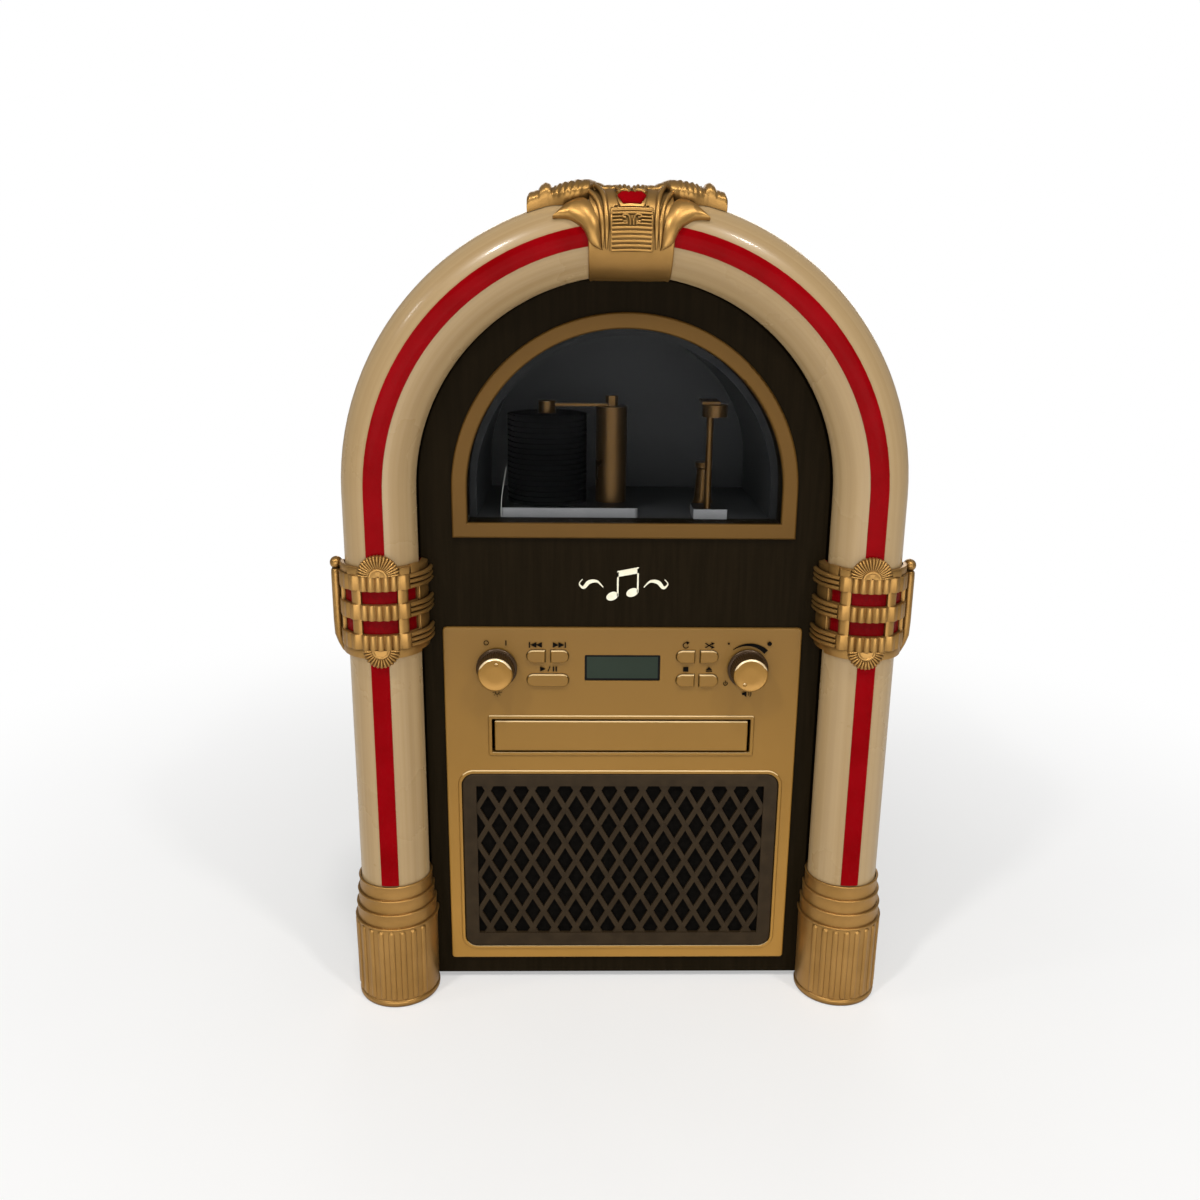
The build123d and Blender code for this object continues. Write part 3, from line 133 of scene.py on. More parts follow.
class Solid:
    """Closed shapes gathered in millimetres and turned into one piece."""

    def __init__(self):
        self.points = []
        self.faces = []

    def grid(self, rows, loop=False):
        """Skin over rows of points; each row is a closed outline, and the end rows are capped."""
        base = len(self.points)
        width = len(rows[0])
        for row in rows:
            self.points.extend(row)
        count = len(rows)
        for i in range(count if loop else count - 1):
            a = base + i * width
            b = base + (i + 1) % count * width
            for j in range(width):
                k = (j + 1) % width
                self.faces.append((a + j, a + k, b + k, b + j))
        if not loop:
            self.faces.append(tuple(base + j for j in range(width)))
            self.faces.append(tuple(base + (count - 1) * width + j for j in range(width)))

    def rod(self, path, radii, sides=10):
        """Round bar along a path; radii is one number or one per point."""
        path = [Vector(p) for p in path]
        if not isinstance(radii, (list, tuple)):
            radii = [radii] * len(path)
        ahead = (path[1] - path[0]).normalized()
        across = ahead.orthogonal().normalized()
        rows = []
        for i, (point, radius) in enumerate(zip(path, radii)):
            before = path[max(i - 1, 0)]
            after = path[min(i + 1, len(path) - 1)]
            turned = (after - before).normalized()
            across = (across - turned * across.dot(turned)).normalized()
            other = turned.cross(across)
            rows.append([tuple(point + (across * math.cos(angle) + other * math.sin(angle)) * radius)
                         for angle in angles_round(sides)])
        self.grid(rows)

    def lathe(self, profile, place, sides, wave=None):
        """Turn (radius, height) pairs; place(x, y, height) gives the point, wave scales a radius."""
        rows = []
        for radius, height in profile:
            row = []
            for angle in angles_round(sides):
                reach = radius * (wave(angle, height) if wave else 1)
                row.append(place(reach * math.cos(angle), reach * math.sin(angle), height))
            rows.append(row)
        self.grid(rows)

    def prism(self, outline, place, thickness):
        """Flat outline of (u, v) pairs, thickened by place(u, v, height)."""
        self.grid([[place(u, v, height) for u, v in outline] for height in (0, thickness)])

    def build(self, name, look, replaces=None, body="cabinet", sharp=40):
        """Make the piece, on a body; edges steeper than sharp degrees stay crisp."""
        mesh = bpy.data.meshes.new(name)
        mesh.from_pydata([(x * MM, y * MM, z * MM) for x, y, z in self.points], [], self.faces)
        mesh.validate()
        piece = add_object(name, mesh)
        bm = bmesh.new()
        bm.from_mesh(mesh)
        bmesh.ops.recalc_face_normals(bm, faces=bm.faces)
        bm.to_mesh(mesh)
        bm.free()
        mesh.shade_smooth()
        mesh.set_sharp_from_angle(angle=math.radians(sharp))
        mesh.materials.append(looks[look])
        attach(piece, body)
        if replaces:
            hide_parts(replaces)


def tube_point(side, turn, reach, z):
    """Point round a leg: turn in degrees from straight ahead, positive outwards."""
    angle = math.radians(turn)
    return (side * (TUBE_X + reach * math.sin(angle)), TUBE_Y - reach * math.cos(angle), z)


def arch_point(x, turn, reach):
    """Point round the arch at a given x: turn in degrees from straight ahead, positive outwards."""
    angle = math.radians(turn)
    radius = TUBE_X + reach * math.sin(angle)
    return (x, TUBE_Y - reach * math.cos(angle), SPRING_Z + math.sqrt(radius * radius - x * x))


def on_panel(x, z, height):
    """Point in front of the panel, height millimetres proud of it."""
    return (x, PANEL_Y - height, z)


# ---- looks ----
EDGE_SAMPLES, HOLLOW_SAMPLES = 4, 6
FINE_DEPTH = 0.2 * MM  # height of the fine bumps
UP_SHARE = 0.6  # a face looks up from this share of its direction on
KNURL_BEHIND = 2.6  # millimetres from the knob's face back to its knurls


def add_node(look, kind, settings=None, **inputs):
    """Add a shader node; an input (named with _ for spaces) takes a value or another node's result."""
    node = look.node_tree.nodes.new("ShaderNode" + kind)
    for key, value in (settings or {}).items():
        setattr(node, key, value)
    for key, value in inputs.items():
        connect(look, value, node.inputs[key.replace("_", " ")])
    return node


def connect(look, value, slot):
    """Give an input a value (colours without alpha), or link it to another node's result."""
    if isinstance(value, bpy.types.NodeSocket):
        look.node_tree.links.new(value, slot)
    else:
        slot.default_value = (*value, 1) if slot.type == "RGBA" else value


def calc(look, operation, a, b=0):
    """A maths node on two sockets or numbers; returns its result socket."""
    node = add_node(look, "Math", {"operation": operation})
    connect(look, a, node.inputs[0])
    connect(look, b, node.inputs[1])
    return node.outputs[0]


def mix_shaders(look, share, first, second):
    """Blend two shaders; returns the result socket."""
    node = add_node(look, "MixShader")
    for slot, value in zip(node.inputs, (share, first, second)):
        connect(look, value, slot)
    return node.outputs[0]


def spot(look):
    """The shaded point, in metres."""
    return add_node(look, "TexCoord").outputs["Object"]


def noise_at(look, place, scale, detail):
    return add_node(look, "TexNoise", Vector=place, Scale=scale, Detail=detail).outputs["Fac"]


def ramp_of(look, value, colors, ends):
    """Run from one colour to another between two values."""
    ramp = add_node(look, "ValToRGB", Fac=value)
    for element, color, end in zip(ramp.color_ramp.elements, colors, ends):
        element.position = end
        element.color = (*color, 1)
    return ramp.outputs["Color"]


def material(name, color, other, metallic=0, rough=0.45, rough_vary=0.1, scale=60,
             stretch=(1, 1, 1), detail=6, contrast=(0.35, 0.65), bump=0, bump_scale=400,
             coat=0, specular=0.5, round_edges=0):
    """Procedural finish: two colours mixed by noise, with the roughness and a fine bump from noise too.
    Colours are linear; scale is noise cells per metre."""
    look = bpy.data.materials.new(name)
    look.use_nodes = True
    place = add_node(look, "Mapping", Vector=spot(look), Scale=stretch).outputs["Vector"]
    noise = noise_at(look, place, scale, detail)
    rough_range = {"To_Min": rough - rough_vary, "To_Max": rough + rough_vary}
    finish = {
        "Base Color": ramp_of(look, noise, (color, other), contrast),
        "Roughness": add_node(look, "MapRange", Value=noise, **rough_range).outputs["Result"],
        "Metallic": metallic,
        "Coat Weight": coat,
        "Coat Roughness": 0.06,
        "Specular IOR Level": specular,
    }
    if round_edges:
        edges = add_node(look, "Bevel", {"samples": EDGE_SAMPLES}, Radius=round_edges * MM)
        finish["Normal"] = edges.outputs["Normal"]
    if bump:
        fine = noise_at(look, place, bump_scale, 3)
        relief = add_node(look, "Bump", Strength=bump, Distance=FINE_DEPTH, Height=fine)
        if round_edges:
            connect(look, finish["Normal"], relief.inputs["Normal"])
        finish["Normal"] = relief.outputs["Normal"]
    for key, value in finish.items():
        connect(look, value, look.node_tree.nodes["Principled BSDF"].inputs[key])
    return look


def mix_in(look, share, color, blend="MIX"):
    """Mix a colour over a finish where share is 1."""
    base = look.node_tree.nodes["Principled BSDF"].inputs["Base Color"]
    mix = add_node(look, "Mix", {"data_type": "RGBA", "blend_type": blend}, Factor=share, B=color)
    connect(look, base.links[0].from_socket, mix.inputs["A"])
    connect(look, mix.outputs["Result"], base)


def add_marks(look, color, scale, amount):
    """Small marks over a finish: spots of noise above 1 - amount take the given colour."""
    noise = noise_at(look, spot(look), scale, 8)
    cut = add_node(look, "MapRange", Value=noise, From_Min=1 - amount, From_Max=1 - amount + 0.03)
    mix_in(look, cut.outputs["Result"], color)


def paint_hollow_shade(look, reach, darkest):
    """Painted shade: a darker colour on the parts of a finish that lie deeper than their surroundings,
    found by ambient occlusion.
    """
    openness = add_node(look, "AmbientOcclusion", {"samples": HOLLOW_SAMPLES}, Distance=reach * MM)
    level = add_node(look, "MapRange", Value=openness.outputs["AO"], From_Min=0.35, From_Max=0.9,
                     To_Min=darkest)
    mix_in(look, 1, level.outputs["Result"], "MULTIPLY")


def split_xyz(look, value):
    """X, Y and Z of a point or a direction."""
    return add_node(look, "SeparateXYZ", Vector=value).outputs


def dark_border(look, node, inset, color):
    """Darken a strip just inside the edges of a flat upright node."""
    at = split_xyz(look, spot(look))
    outside = []
    for axis in ("x", "z"):
        middle = (low(node, axis) + high(node, axis)) / 2
        half = (high(node, axis) - low(node, axis)) / 2
        away = calc(look, "ABSOLUTE", calc(look, "SUBTRACT", at[axis.upper()], middle * MM))
        outside.append(calc(look, "GREATER_THAN", away, (half - inset) * MM))
    mix_in(look, calc(look, "MAXIMUM", *outside), color)


def paint_shade_upwards(look, node, color):
    """Painted light and shade: change a finish gradually from the foot of a node to another colour at
    its top.
    """
    rise = calc(look, "SUBTRACT", split_xyz(look, spot(look))["Z"], low(node, "z") * MM)
    mix_in(look, calc(look, "DIVIDE", rise, (high(node, "z") - low(node, "z")) * MM), color)


def facing(look):
    """The face's own direction."""
    return split_xyz(look, add_node(look, "NewGeometry").outputs["Normal"])


def tint_front(look, color, back_y, only_up=True):
    """Another colour for what lies in front of back_y, or only for its faces that look up."""
    share = calc(look, "LESS_THAN", split_xyz(look, spot(look))["Y"], back_y * MM)
    if only_up:
        share = calc(look, "MULTIPLY", share, calc(look, "GREATER_THAN", facing(look)["Z"], UP_SHARE))
    mix_in(look, share, color)


def paint_knob_shade_and_highlight(look):
    """Painted shade on the knurled sides and the back of the knob, and a painted highlight along the
    up-facing edge of its face.
    """
    way = facing(look)
    outward = calc(look, "ABSOLUTE", way["Y"])
    at = split_xyz(look, spot(look))
    behind = calc(look, "GREATER_THAN", at["Y"], (KNOB_FRONT_Y + KNURL_BEHIND) * MM)
    # painted shade on the side faces and on everything behind the face
    side_shade = calc(look, "MAXIMUM", calc(look, "LESS_THAN", outward, 0.45), behind)
    mix_in(look, side_shade, (0.05, 0.027, 0.011))
    # painted highlight on the up-facing rim of the face
    edge = calc(look, "LESS_THAN", outward, 0.93)
    limits = (("GREATER_THAN", way["Z"], 0.25), ("GREATER_THAN", outward, 0.45), ("SUBTRACT", 1, behind))
    for limit in limits:
        edge = calc(look, "MULTIPLY", edge, calc(look, *limit))
    mix_in(look, edge, (0.85, 0.68, 0.42))


# two colours and the settings of each finish
GOLD = (0.35, 0.19, 0.052)
GOLD_LIGHT = (0.435, 0.243, 0.074)
FINISHES = {
    "dark_wood": ((0.0078, 0.0051, 0.0019), (0.0108, 0.0071, 0.003), dict(rough=0.55, scale=55,
        stretch=(9, 9, 0.5), detail=9, bump=0.15, bump_scale=110, rough_vary=0.06, specular=0.025)),
    "plain_board": ((0.36, 0.24, 0.13), (0.46, 0.32, 0.18), dict(rough=0.8, scale=350, bump=0.3)),
    "back_board": ((0.02, 0.016, 0.012), (0.034, 0.028, 0.022), dict(rough=0.62, scale=500, bump=0.4,
        bump_scale=900, specular=0.3)),
    "black_steel": ((0.02, 0.02, 0.021), (0.035, 0.035, 0.036), dict(metallic=0.6, rough=0.38,
        scale=300, bump=0.1)),
    "rubber": ((0.018, 0.018, 0.018), (0.028, 0.027, 0.026), dict(rough=0.78, scale=400, bump=0.4)),
    "lamp_white": ((0.72, 0.68, 0.56), (0.8, 0.77, 0.66), dict(rough=0.5, scale=120)),
    "red_lens": ((0.19, 0.0006, 0.0018), (0.24, 0.001, 0.0034), dict(rough=0.2, rough_vary=0.06,
        scale=35, coat=0.03, bump=0.03, bump_scale=60, specular=0.008)),
    "red_window": ((0.125, 0.0006, 0.0018), (0.17, 0.001, 0.003), dict(rough=0.25, rough_vary=0.06,
        scale=35, coat=0.03, bump=0.03, bump_scale=60, specular=0.02)),
    "gold_paint": (GOLD, GOLD_LIGHT, dict(metallic=0.8, rough=0.39, rough_vary=0.06, scale=34,
        bump=0.1, bump_scale=1500, specular=0.3, round_edges=0.25)),
    "gold_panel": ((0.34, 0.177, 0.032), (0.372, 0.194, 0.037), dict(metallic=0.15, rough=0.42,
        rough_vary=0.05, scale=14, bump=0.06, bump_scale=1600, specular=0.25, round_edges=0.45)),
    "gold_bezel": ((0.098, 0.048, 0.008), (0.112, 0.056, 0.01), dict(metallic=0.4, rough=0.5,
        rough_vary=0.05, scale=18, bump=0.06, bump_scale=1600, specular=0.2)),
    "gold_knob": ((0.27, 0.14, 0.027), (0.3, 0.157, 0.033), dict(metallic=0.4, rough=0.3, scale=34,
        bump=0.06, bump_scale=1600, specular=0.3, round_edges=0.3)),
    "chamber_grey": ((0.043, 0.046, 0.049), (0.058, 0.062, 0.066), dict(rough=0.5, scale=16, bump=0.05,
        bump_scale=300, specular=0.3)),
    "gloss_black": ((0.0009, 0.0011, 0.001), (0.0016, 0.002, 0.0018), dict(rough=0.8, scale=160,
        specular=0)),
    "silver_plate": ((0.385, 0.39, 0.405), (0.435, 0.44, 0.455), dict(metallic=0.3, rough=0.45,
        scale=60, bump=0.05, bump_scale=1500)),
    "brass_paint": ((0.108, 0.056, 0.0155), (0.14, 0.074, 0.022), dict(metallic=0.85, rough=0.3,
        scale=40, bump=0.06, bump_scale=1500)),
    "lcd_window": ((0.0175, 0.027, 0.0185), (0.0225, 0.034, 0.024), dict(rough=0.3, rough_vary=0.04,
        scale=9, detail=2, coat=0.05, specular=0.1)),
    "lcd_panel": ((0.03, 0.05, 0.04), (0.04, 0.06, 0.05), dict(rough=0.4, scale=60)),
    "circuit_green": ((0.01, 0.085, 0.03), (0.016, 0.12, 0.045), dict(rough=0.42, scale=220,
        contrast=(0.48, 0.52), detail=2, bump=0.2)),
    "black_plastic": ((0.012, 0.012, 0.013), (0.022, 0.022, 0.024), dict(rough=0.5, scale=260,
        bump=0.25, bump_scale=1400)),
    "steel": ((0.42, 0.42, 0.43), (0.52, 0.52, 0.53), dict(metallic=1, rough=0.3, scale=90,
        stretch=(1, 1, 12))),
    "grille_brown": ((0.023, 0.014, 0.006), (0.031, 0.0195, 0.0088), dict(rough=0.5, scale=120,
        bump=0.12, bump_scale=1400, specular=0.12)),
    "speaker_paper": ((0.018, 0.018, 0.018), (0.03, 0.03, 0.03), dict(rough=0.85, scale=500, bump=0.5)),
    "white_plastic": ((0.68, 0.66, 0.6), (0.76, 0.74, 0.69), dict(rough=0.42, scale=90)),
    "cream_print": ((0.72, 0.68, 0.52), (0.8, 0.77, 0.62), dict(rough=0.45, scale=300)),
    "black_print": ((0.0025, 0.002, 0.0015), (0.005, 0.004, 0.003), dict(rough=0.6, scale=500,
        specular=0.03)),
    "wire_white": ((0.62, 0.62, 0.6), (0.7, 0.7, 0.68), dict(rough=0.35, scale=300)),
}
looks = {name: material(name, *colors, **finish) for name, (*colors, finish) in FINISHES.items()}
add_marks(looks["gold_paint"], (0.09, 0.048, 0.02), 75, 0.27)
# painted shade in the hollows of the gold relief, and on the next line in the knob's knurls
paint_hollow_shade(looks["gold_paint"], 4, 0.35)
paint_hollow_shade(looks["gold_knob"], 1.2, 0.22)


IVORY = (0.5, 0.375, 0.215)
STREAKS = (900, 700, 6)  # stretch of the noise outwards, front to back and along the tube
STREAK_TURN_REACH = 0.13  # metres along the arch per radian
PAINTED_GLOW = 0.30  # painted light: an even glow in the tube's own colour that lifts its shaded sides


def ivory_look():
    """Glossy ivory plastic with faint streaks that run along the tube, and a painted glow in the same
    colour.
    """
    look = material("ivory_plastic", IVORY, IVORY, rough=0.28, rough_vary=0.05, scale=20, specular=0.3,
                    coat=0.15, bump=0.02, bump_scale=40)
    at = split_xyz(look, spot(look))
    rise = calc(look, "MAXIMUM", calc(look, "SUBTRACT", at["Z"], SPRING_Z * MM), 0)
    squares = [calc(look, "MULTIPLY", way, way) for way in (at["X"], rise)]
    across = calc(look, "SQRT", calc(look, "ADD", *squares))
    round_arch = calc(look, "MULTIPLY", calc(look, "ARCTAN2", rise, at["X"]), STREAK_TURN_REACH)
    along = calc(look, "ADD", round_arch, calc(look, "MINIMUM", at["Z"], SPRING_Z * MM))
    cells = [calc(look, "MULTIPLY", *pair) for pair in zip((across, at["Y"], along), STREAKS)]
    place = add_node(look, "CombineXYZ", X=cells[0], Y=cells[1], Z=cells[2]).outputs[0]
    tone = ramp_of(look, noise_at(look, place, 0.32, 4), ((0.262, 0.174, 0.08), (0.312, 0.218, 0.112)),
                   (0.3, 0.62))
    shader = look.node_tree.nodes["Principled BSDF"]
    connect(look, tone, shader.inputs["Base Color"])
    # painted light: the streak colour also glows
    connect(look, tone, shader.inputs["Emission Color"])
    connect(look, PAINTED_GLOW, shader.inputs["Emission Strength"])
    return look


def pane_look():
    """Clear acrylic: mostly see-through, with a mirror-like share that grows at shallow angles."""
    look = bpy.data.materials.new("clear_pane")
    look.use_nodes = True
    nodes = look.node_tree.nodes
    nodes.remove(nodes["Principled BSDF"])
    clear = add_node(look, "BsdfTransparent", Color=(0.8, 0.805, 0.81))
    gloss = add_node(look, "BsdfGlossy", Roughness=0.03)
    weak = add_node(look, "MapRange", Value=noise_at(look, spot(look), 25, 2), To_Min=0.02, To_Max=0.05)
    fresnel = add_node(look, "Fresnel", IOR=1.45).outputs[0]
    share = calc(look, "MULTIPLY", fresnel, weak.outputs["Result"])
    surface = mix_shaders(look, share, clear.outputs[0], gloss.outputs[0])
    connect(look, surface, nodes["Material Output"].inputs["Surface"])
    return look


def cloth_look():
    """Black speaker cloth with a fine weave."""
    look = material("grille_cloth", (0.0022, 0.0019, 0.0016), (0.0042, 0.0036, 0.003), rough=0.9,
                    scale=300, specular=0.03)
    weave = add_node(look, "TexChecker", Vector=spot(look), Scale=1300)
    relief = add_node(look, "Bump", Strength=0.5, Distance=FINE_DEPTH, Height=weave.outputs["Fac"])
    connect(look, relief.outputs["Normal"], look.node_tree.nodes["Principled BSDF"].inputs["Normal"])
    return look


# painted shade: the control panel grows darker towards its top
paint_shade_upwards(looks["gold_panel"], "control_panel", (0.185, 0.096, 0.0178))
add_marks(looks["gold_panel"], (0.1, 0.055, 0.022), 42, 0.26)
# painted shade in the gaps round the buttons and the drawer slot
paint_hollow_shade(looks["gold_panel"], 1, 0.35)
# painted shade over the front strip of the display chamber
tint_front(looks["chamber_grey"], (0.014, 0.0155, 0.017), low("display_chamber", "y") + 0.3,
           only_up=False)
dark_border(looks["lcd_window"], "display_lens", 1.2, (0.0008, 0.0008, 0.0008))
tint_front(looks["silver_plate"], (0.004, 0.004, 0.004), high("stack_plate", "y"))
# painted highlight: up-facing faces at the very front of the panel, drawer door and buttons turn bright
tint_front(looks["gold_panel"], (0.8, 0.6, 0.32), PANEL_Y + 0.7)
# painted shade on the knob sides and a painted highlight on the rim of its face
paint_knob_shade_and_highlight(looks["gold_knob"])
looks["ivory_plastic"] = ivory_look()
looks["clear_pane"] = pane_look()
looks["grille_cloth"] = cloth_look()

for subpart in frame["record"]["subparts"]:
    node_name, look_name = subpart["node"], subpart["material_slot"]
    if node_name in ("control_panel", "tray_door") or node_name.endswith("_button"):
        look_name = "gold_panel"
    elif node_name == "band_lenses":
        look_name = "red_window"
    node = frame["nodes"][node_name]
    node.data.materials.clear()
    node.data.materials.append(looks[look_name])

# ---- pillars: ribbed body, three nested rings, socket for the tube ----
REED_STEP = 15.8  # degrees between ribs; one rib faces straight ahead
REED_FIRST, REED_LAST = -3, 6
REED_HALF_W = 1.75
REED_RISE = 0.95
REED_LOW_Z, REED_HIGH_Z = 5, 51.2
RING_PITCH = 8.6
RING_RADII = (23.75, 22.75, 21.75)
LIP_R, BODY_R = 24.85, 23.9
BODY_TOP_Z = PILLAR_TOP_Z - RING_PITCH * len(RING_RADII)
LAMP_BORE_R = 10
PLAIN_TURNS = 36  # columns of points round the part without ribs
LAMP_FLOOR_Z = 30


def pillar_rows():
    """(radius, height) of the outside from the foot up to the rim, without the ribs."""
    ends = (-1, -0.97, -0.85, -0.6, -0.3, 0)
    rows = [(20.5, 0), (22.9, 0.1), (23.7, 0.5), (24.05, 1.2), (24.2, 2.6), (24.1, 3.6),
            (BODY_R - 0.5, 4.2)]
    rows += [(BODY_R - 0.3, REED_LOW_Z + REED_HALF_W * (1 + end)) for end in ends]
    rows += [(BODY_R - 0.3, 16), (BODY_R - 0.25, 28), (BODY_R - 0.1, 40)]
    rows += [(BODY_R, REED_HIGH_Z - REED_HALF_W * (1 + end)) for end in reversed(ends)]
    rows += [(BODY_R, BODY_TOP_Z - 1.5), (LIP_R - 0.25, BODY_TOP_Z - 1), (LIP_R, BODY_TOP_Z - 0.55),
             (LIP_R - 0.1, BODY_TOP_Z - 0.2), (LIP_R - 0.45, BODY_TOP_Z)]
    for step, radius in enumerate(RING_RADII):
        foot = BODY_TOP_Z + step * RING_PITCH
        rows += [(radius - 0.45, foot + 0.05), (radius - 0.5, foot + 0.5), (radius - 0.35, foot + 4),
                 (radius - 0.4, foot + 7), (radius - 0.15, foot + 7.6), (radius, foot + 8.05),
                 (radius - 0.1, foot + 8.4), (radius - 0.45, foot + RING_PITCH)]
    return rows


def reed_rise(turn, z):
    """How far the ribs stand out at a turn and height, with round ends."""
    reed = round(turn / REED_STEP)
    if not REED_FIRST <= reed <= REED_LAST:
        return 0
    side_way = math.radians(turn - reed * REED_STEP) * BODY_R
    end_way = max(REED_LOW_Z + REED_HALF_W - z, z - REED_HIGH_Z + REED_HALF_W, 0)
    share = 1 - (side_way * side_way + end_way * end_way) / (REED_HALF_W * REED_HALF_W)
    return REED_RISE * math.sqrt(share) if share > 0 else 0


def flat_back(point):
    """Keep a point in front of the cabinet's front wall, and of the baffle where it faces it."""
    x, y, z = point
    limit = FACE_Y - 0.05 if abs(x) < BAFFLE_HALF_W + 0.6 else SHELL_Y - 0.05
    return (x, min(y, limit), z)


def make_pillar(side, node):
    turns = []
    for reed in range(REED_FIRST, REED_LAST + 1):
        for way in (-1.9, -1.02, -0.99, -0.93, -0.8, -0.6, -0.3, 0, 0.3, 0.6, 0.8, 0.93, 0.99, 1.02):
            turns.append(reed * REED_STEP + math.degrees(way * REED_HALF_W / BODY_R))
    plain_from = turns[-1] + 4
    turns += [plain_from + (360 + turns[0] - plain_from) * i / PLAIN_TURNS for i in range(PLAIN_TURNS)]
    rows = []
    for radius, z in pillar_rows():
        rows.append([flat_back(tube_point(side, turn, radius + reed_rise(turn, z), z))
                     for turn in turns])
    socket = ((TUBE_R + 0.75, PILLAR_TOP_Z + 0.05), (TUBE_R + 0.35, PILLAR_TOP_Z - 0.3),
              (TUBE_R + 0.3, TUBE_FOOT_Z - 1), (LAMP_BORE_R, TUBE_FOOT_Z - 1),
              (LAMP_BORE_R, LAMP_FLOOR_Z))
    for radius, z in socket:
        rows.append([tube_point(side, turn, radius, z) for turn in turns])
    pillar = Solid()
    pillar.grid(rows)
    pillar.build(node + "_ornate", "gold_paint", replaces=node, sharp=50)


make_pillar(RIGHT, "right_pillar")
make_pillar(LEFT, "left_pillar")


# ---- bands half way up the legs ----
BAND_TURN = -4  # the pattern faces a little inwards
BAND_IN_R = 21.3
BELTS = ((257.3, 265.9), (241.1, 249.9), (224.1, 233))
BAND_TOP_Z, BAND_FOOT_Z = 270.2, 219
BARS = ((-41.5, -26, 23.5), (26, 41.5, 23.5), (66, 71.5, 23.4), (71, 92, 22.3),
        (-66.5, -63.5, 23.3))
PLEAT_PITCH = 10.3
COLLAR_R = 22.9
COLLAR_BLOCKS = ((-42, -28, 24.2, 269.6), (-62, -45.5, 23.9, 270.8), (28, 46, 23.7, 269.4))
FOLDS = ((24, 23.6), (24.6, 23.3), (28.5, 23.25), (29.2, 23.7), (35, 24.95), (41.5, 24.5), (42.5, 23.7),
         (49, 24.6), (56, 23.9), (63, 24.3), (71.5, 23.8), (86, 23.4))
RIDGE_PATH = ((-17, 16.4), (-21.6, 10.9), (-24.5, 5.2), (-25.7, -1), (-25.8, -6.9))
RIDGE_R = 1.3
CHEEK_OUT = ((-20.6, 9.6), (-22.9, 4.8), (-24.1, -1), (-24.2, -6.9))
CHEEK_IN = ((-18.9, 8.8), (-20.5, 4.2), (-20.9, -1), (-20.9, -6.9))
FIN_P, FIN_Q, FIN_R, FIN_TOP_Z = 24.9, 0.5, 3.2, 265.5
BALL_R = 3.5
BOSS_R = 4.3
GROOVE_DEPTH = 0.85
FIN_ROWS = ((216.8, 1.2, -3.4), (218.5, 2, -2.8), (223, 2.7, -1.4), (228, FIN_R, -0.3),
            (236, FIN_R, 0), (FIN_TOP_Z - 4, FIN_R, 0), (FIN_TOP_Z - 1.2, FIN_R - 0.1, 0),
            (FIN_TOP_Z - 0.3, FIN_R - 0.5, 0), (FIN_TOP_Z, FIN_R - 1.4, 0))


def belt_reach(turn):
    """Outside of a belt, by degrees from the middle of the pattern."""
    way = abs(turn)
    if way <= 24:
        return 23.3 + 1.6 * abs(math.cos(math.pi * turn / PLEAT_PITCH)) ** 0.8
    return blend_value(way, FOLDS)


def ring_section(inner, outer, low_z, high_z, round_by):
    """Closed outline of (reach, z) pairs, with its outside edges rounded."""
    middle = (inner + outer) / 2
    soft, slope = outer - round_by * 0.25, round_by * 0.3
    return [(inner, low_z), (middle, low_z), (outer - round_by, low_z), (soft, low_z + slope),
            (outer, low_z + round_by), (outer, high_z - round_by), (soft, high_z - slope),
            (outer - round_by, high_z), (middle, high_z), (inner, high_z)]


def band_fan(band, side, centre_z, half_w, height, ribs, outward):
    """Ribbed half shell on the front of a band, its hinge at centre_z, opening up (1) or down (-1)."""
    samples = ribs * 8
    boss = BOSS_R / half_w
    relief = ((0.05, 21.5, 0), (0.05, 24.3, 0), (boss - 0.08, 24.45, 0), (boss - 0.03, 25, 0),
              (boss + 0.03, 25, 0), (boss + 0.07, 24.3, 0.2), (0.55, 24.7, 0.8), (0.72, 25, 1),
              (0.86, 25, 1), (0.96, 24.7, 0.9), (1, 24, 0.6), (1, 21.5, 0))
    rows = []
    for i in range(samples + 1):
        angle = math.pi * i / samples
        rib = abs(math.sin(ribs * angle))
        edge = 0.955 + 0.045 * rib
        row = []
        for share, reach, groove in relief:
            spread = share * (edge if share > 0.5 else 1)
            across = half_w * spread * math.cos(angle)
            up = height * spread * math.sin(angle)
            turn = BAND_TURN + math.degrees(across / 24)
            depth = GROOVE_DEPTH * groove * (1 - rib)
            row.append(tube_point(side, turn, reach - depth, centre_z + outward * up))
        rows.append(row)
    band.grid(rows)


def make_belts(band, at):
    """Pleated belts, the bars between the windows, and the two plain collars."""
    def ring(turns_and_reaches, low_z, high_z, inner=BAND_IN_R, round_by=0.7):
        rows = []
        for turn, outer in turns_and_reaches:
            section = ring_section(inner, outer, low_z, high_z, round_by)
            rows.append([at(turn, reach, z) for reach, z in section])
        band.grid(rows)

    belt_turns = [-43] + [1.2 * i for i in range(-35, 72)]
    for low_z, high_z in BELTS:
        ring([(turn, belt_reach(turn)) for turn in belt_turns], low_z, high_z)
        ring([(turn, COLLAR_R) for turn in range(-68, -40, 3)], low_z - 0.3, high_z + 0.3)
    low_z, high_z = BELTS[2][0] + 2, BELTS[0][1] - 2
    for start, end, outer in BARS:
        rows = []
        for i, drop in enumerate((0.7, 0.1, 0, 0, 0, 0.1, 0.7)):
            turn = start + (end - start) * i / 6
            rows.append([at(turn, BAND_IN_R, low_z), at(turn, outer - drop, low_z),
                         at(turn, outer - drop, high_z), at(turn, BAND_IN_R, high_z)])
        band.grid(rows)
    collar = [(-66 + 2.5 * i, COLLAR_R) for i in range(64)]
    ring(collar, BELTS[0][1] - 0.2, BAND_TOP_Z, TUBE_R + 0.7, 0.5)
    ring(collar, BAND_FOOT_Z, BELTS[2][0] + 0.2, TUBE_R + 0.7, 0.5)
    for start, end, outer, high_z in COLLAR_BLOCKS:
        block = [(start + (end - start) * i / 8, outer) for i in range(9)]
        ring(block, BELTS[0][1] - 0.5, high_z, 22, 0.5)


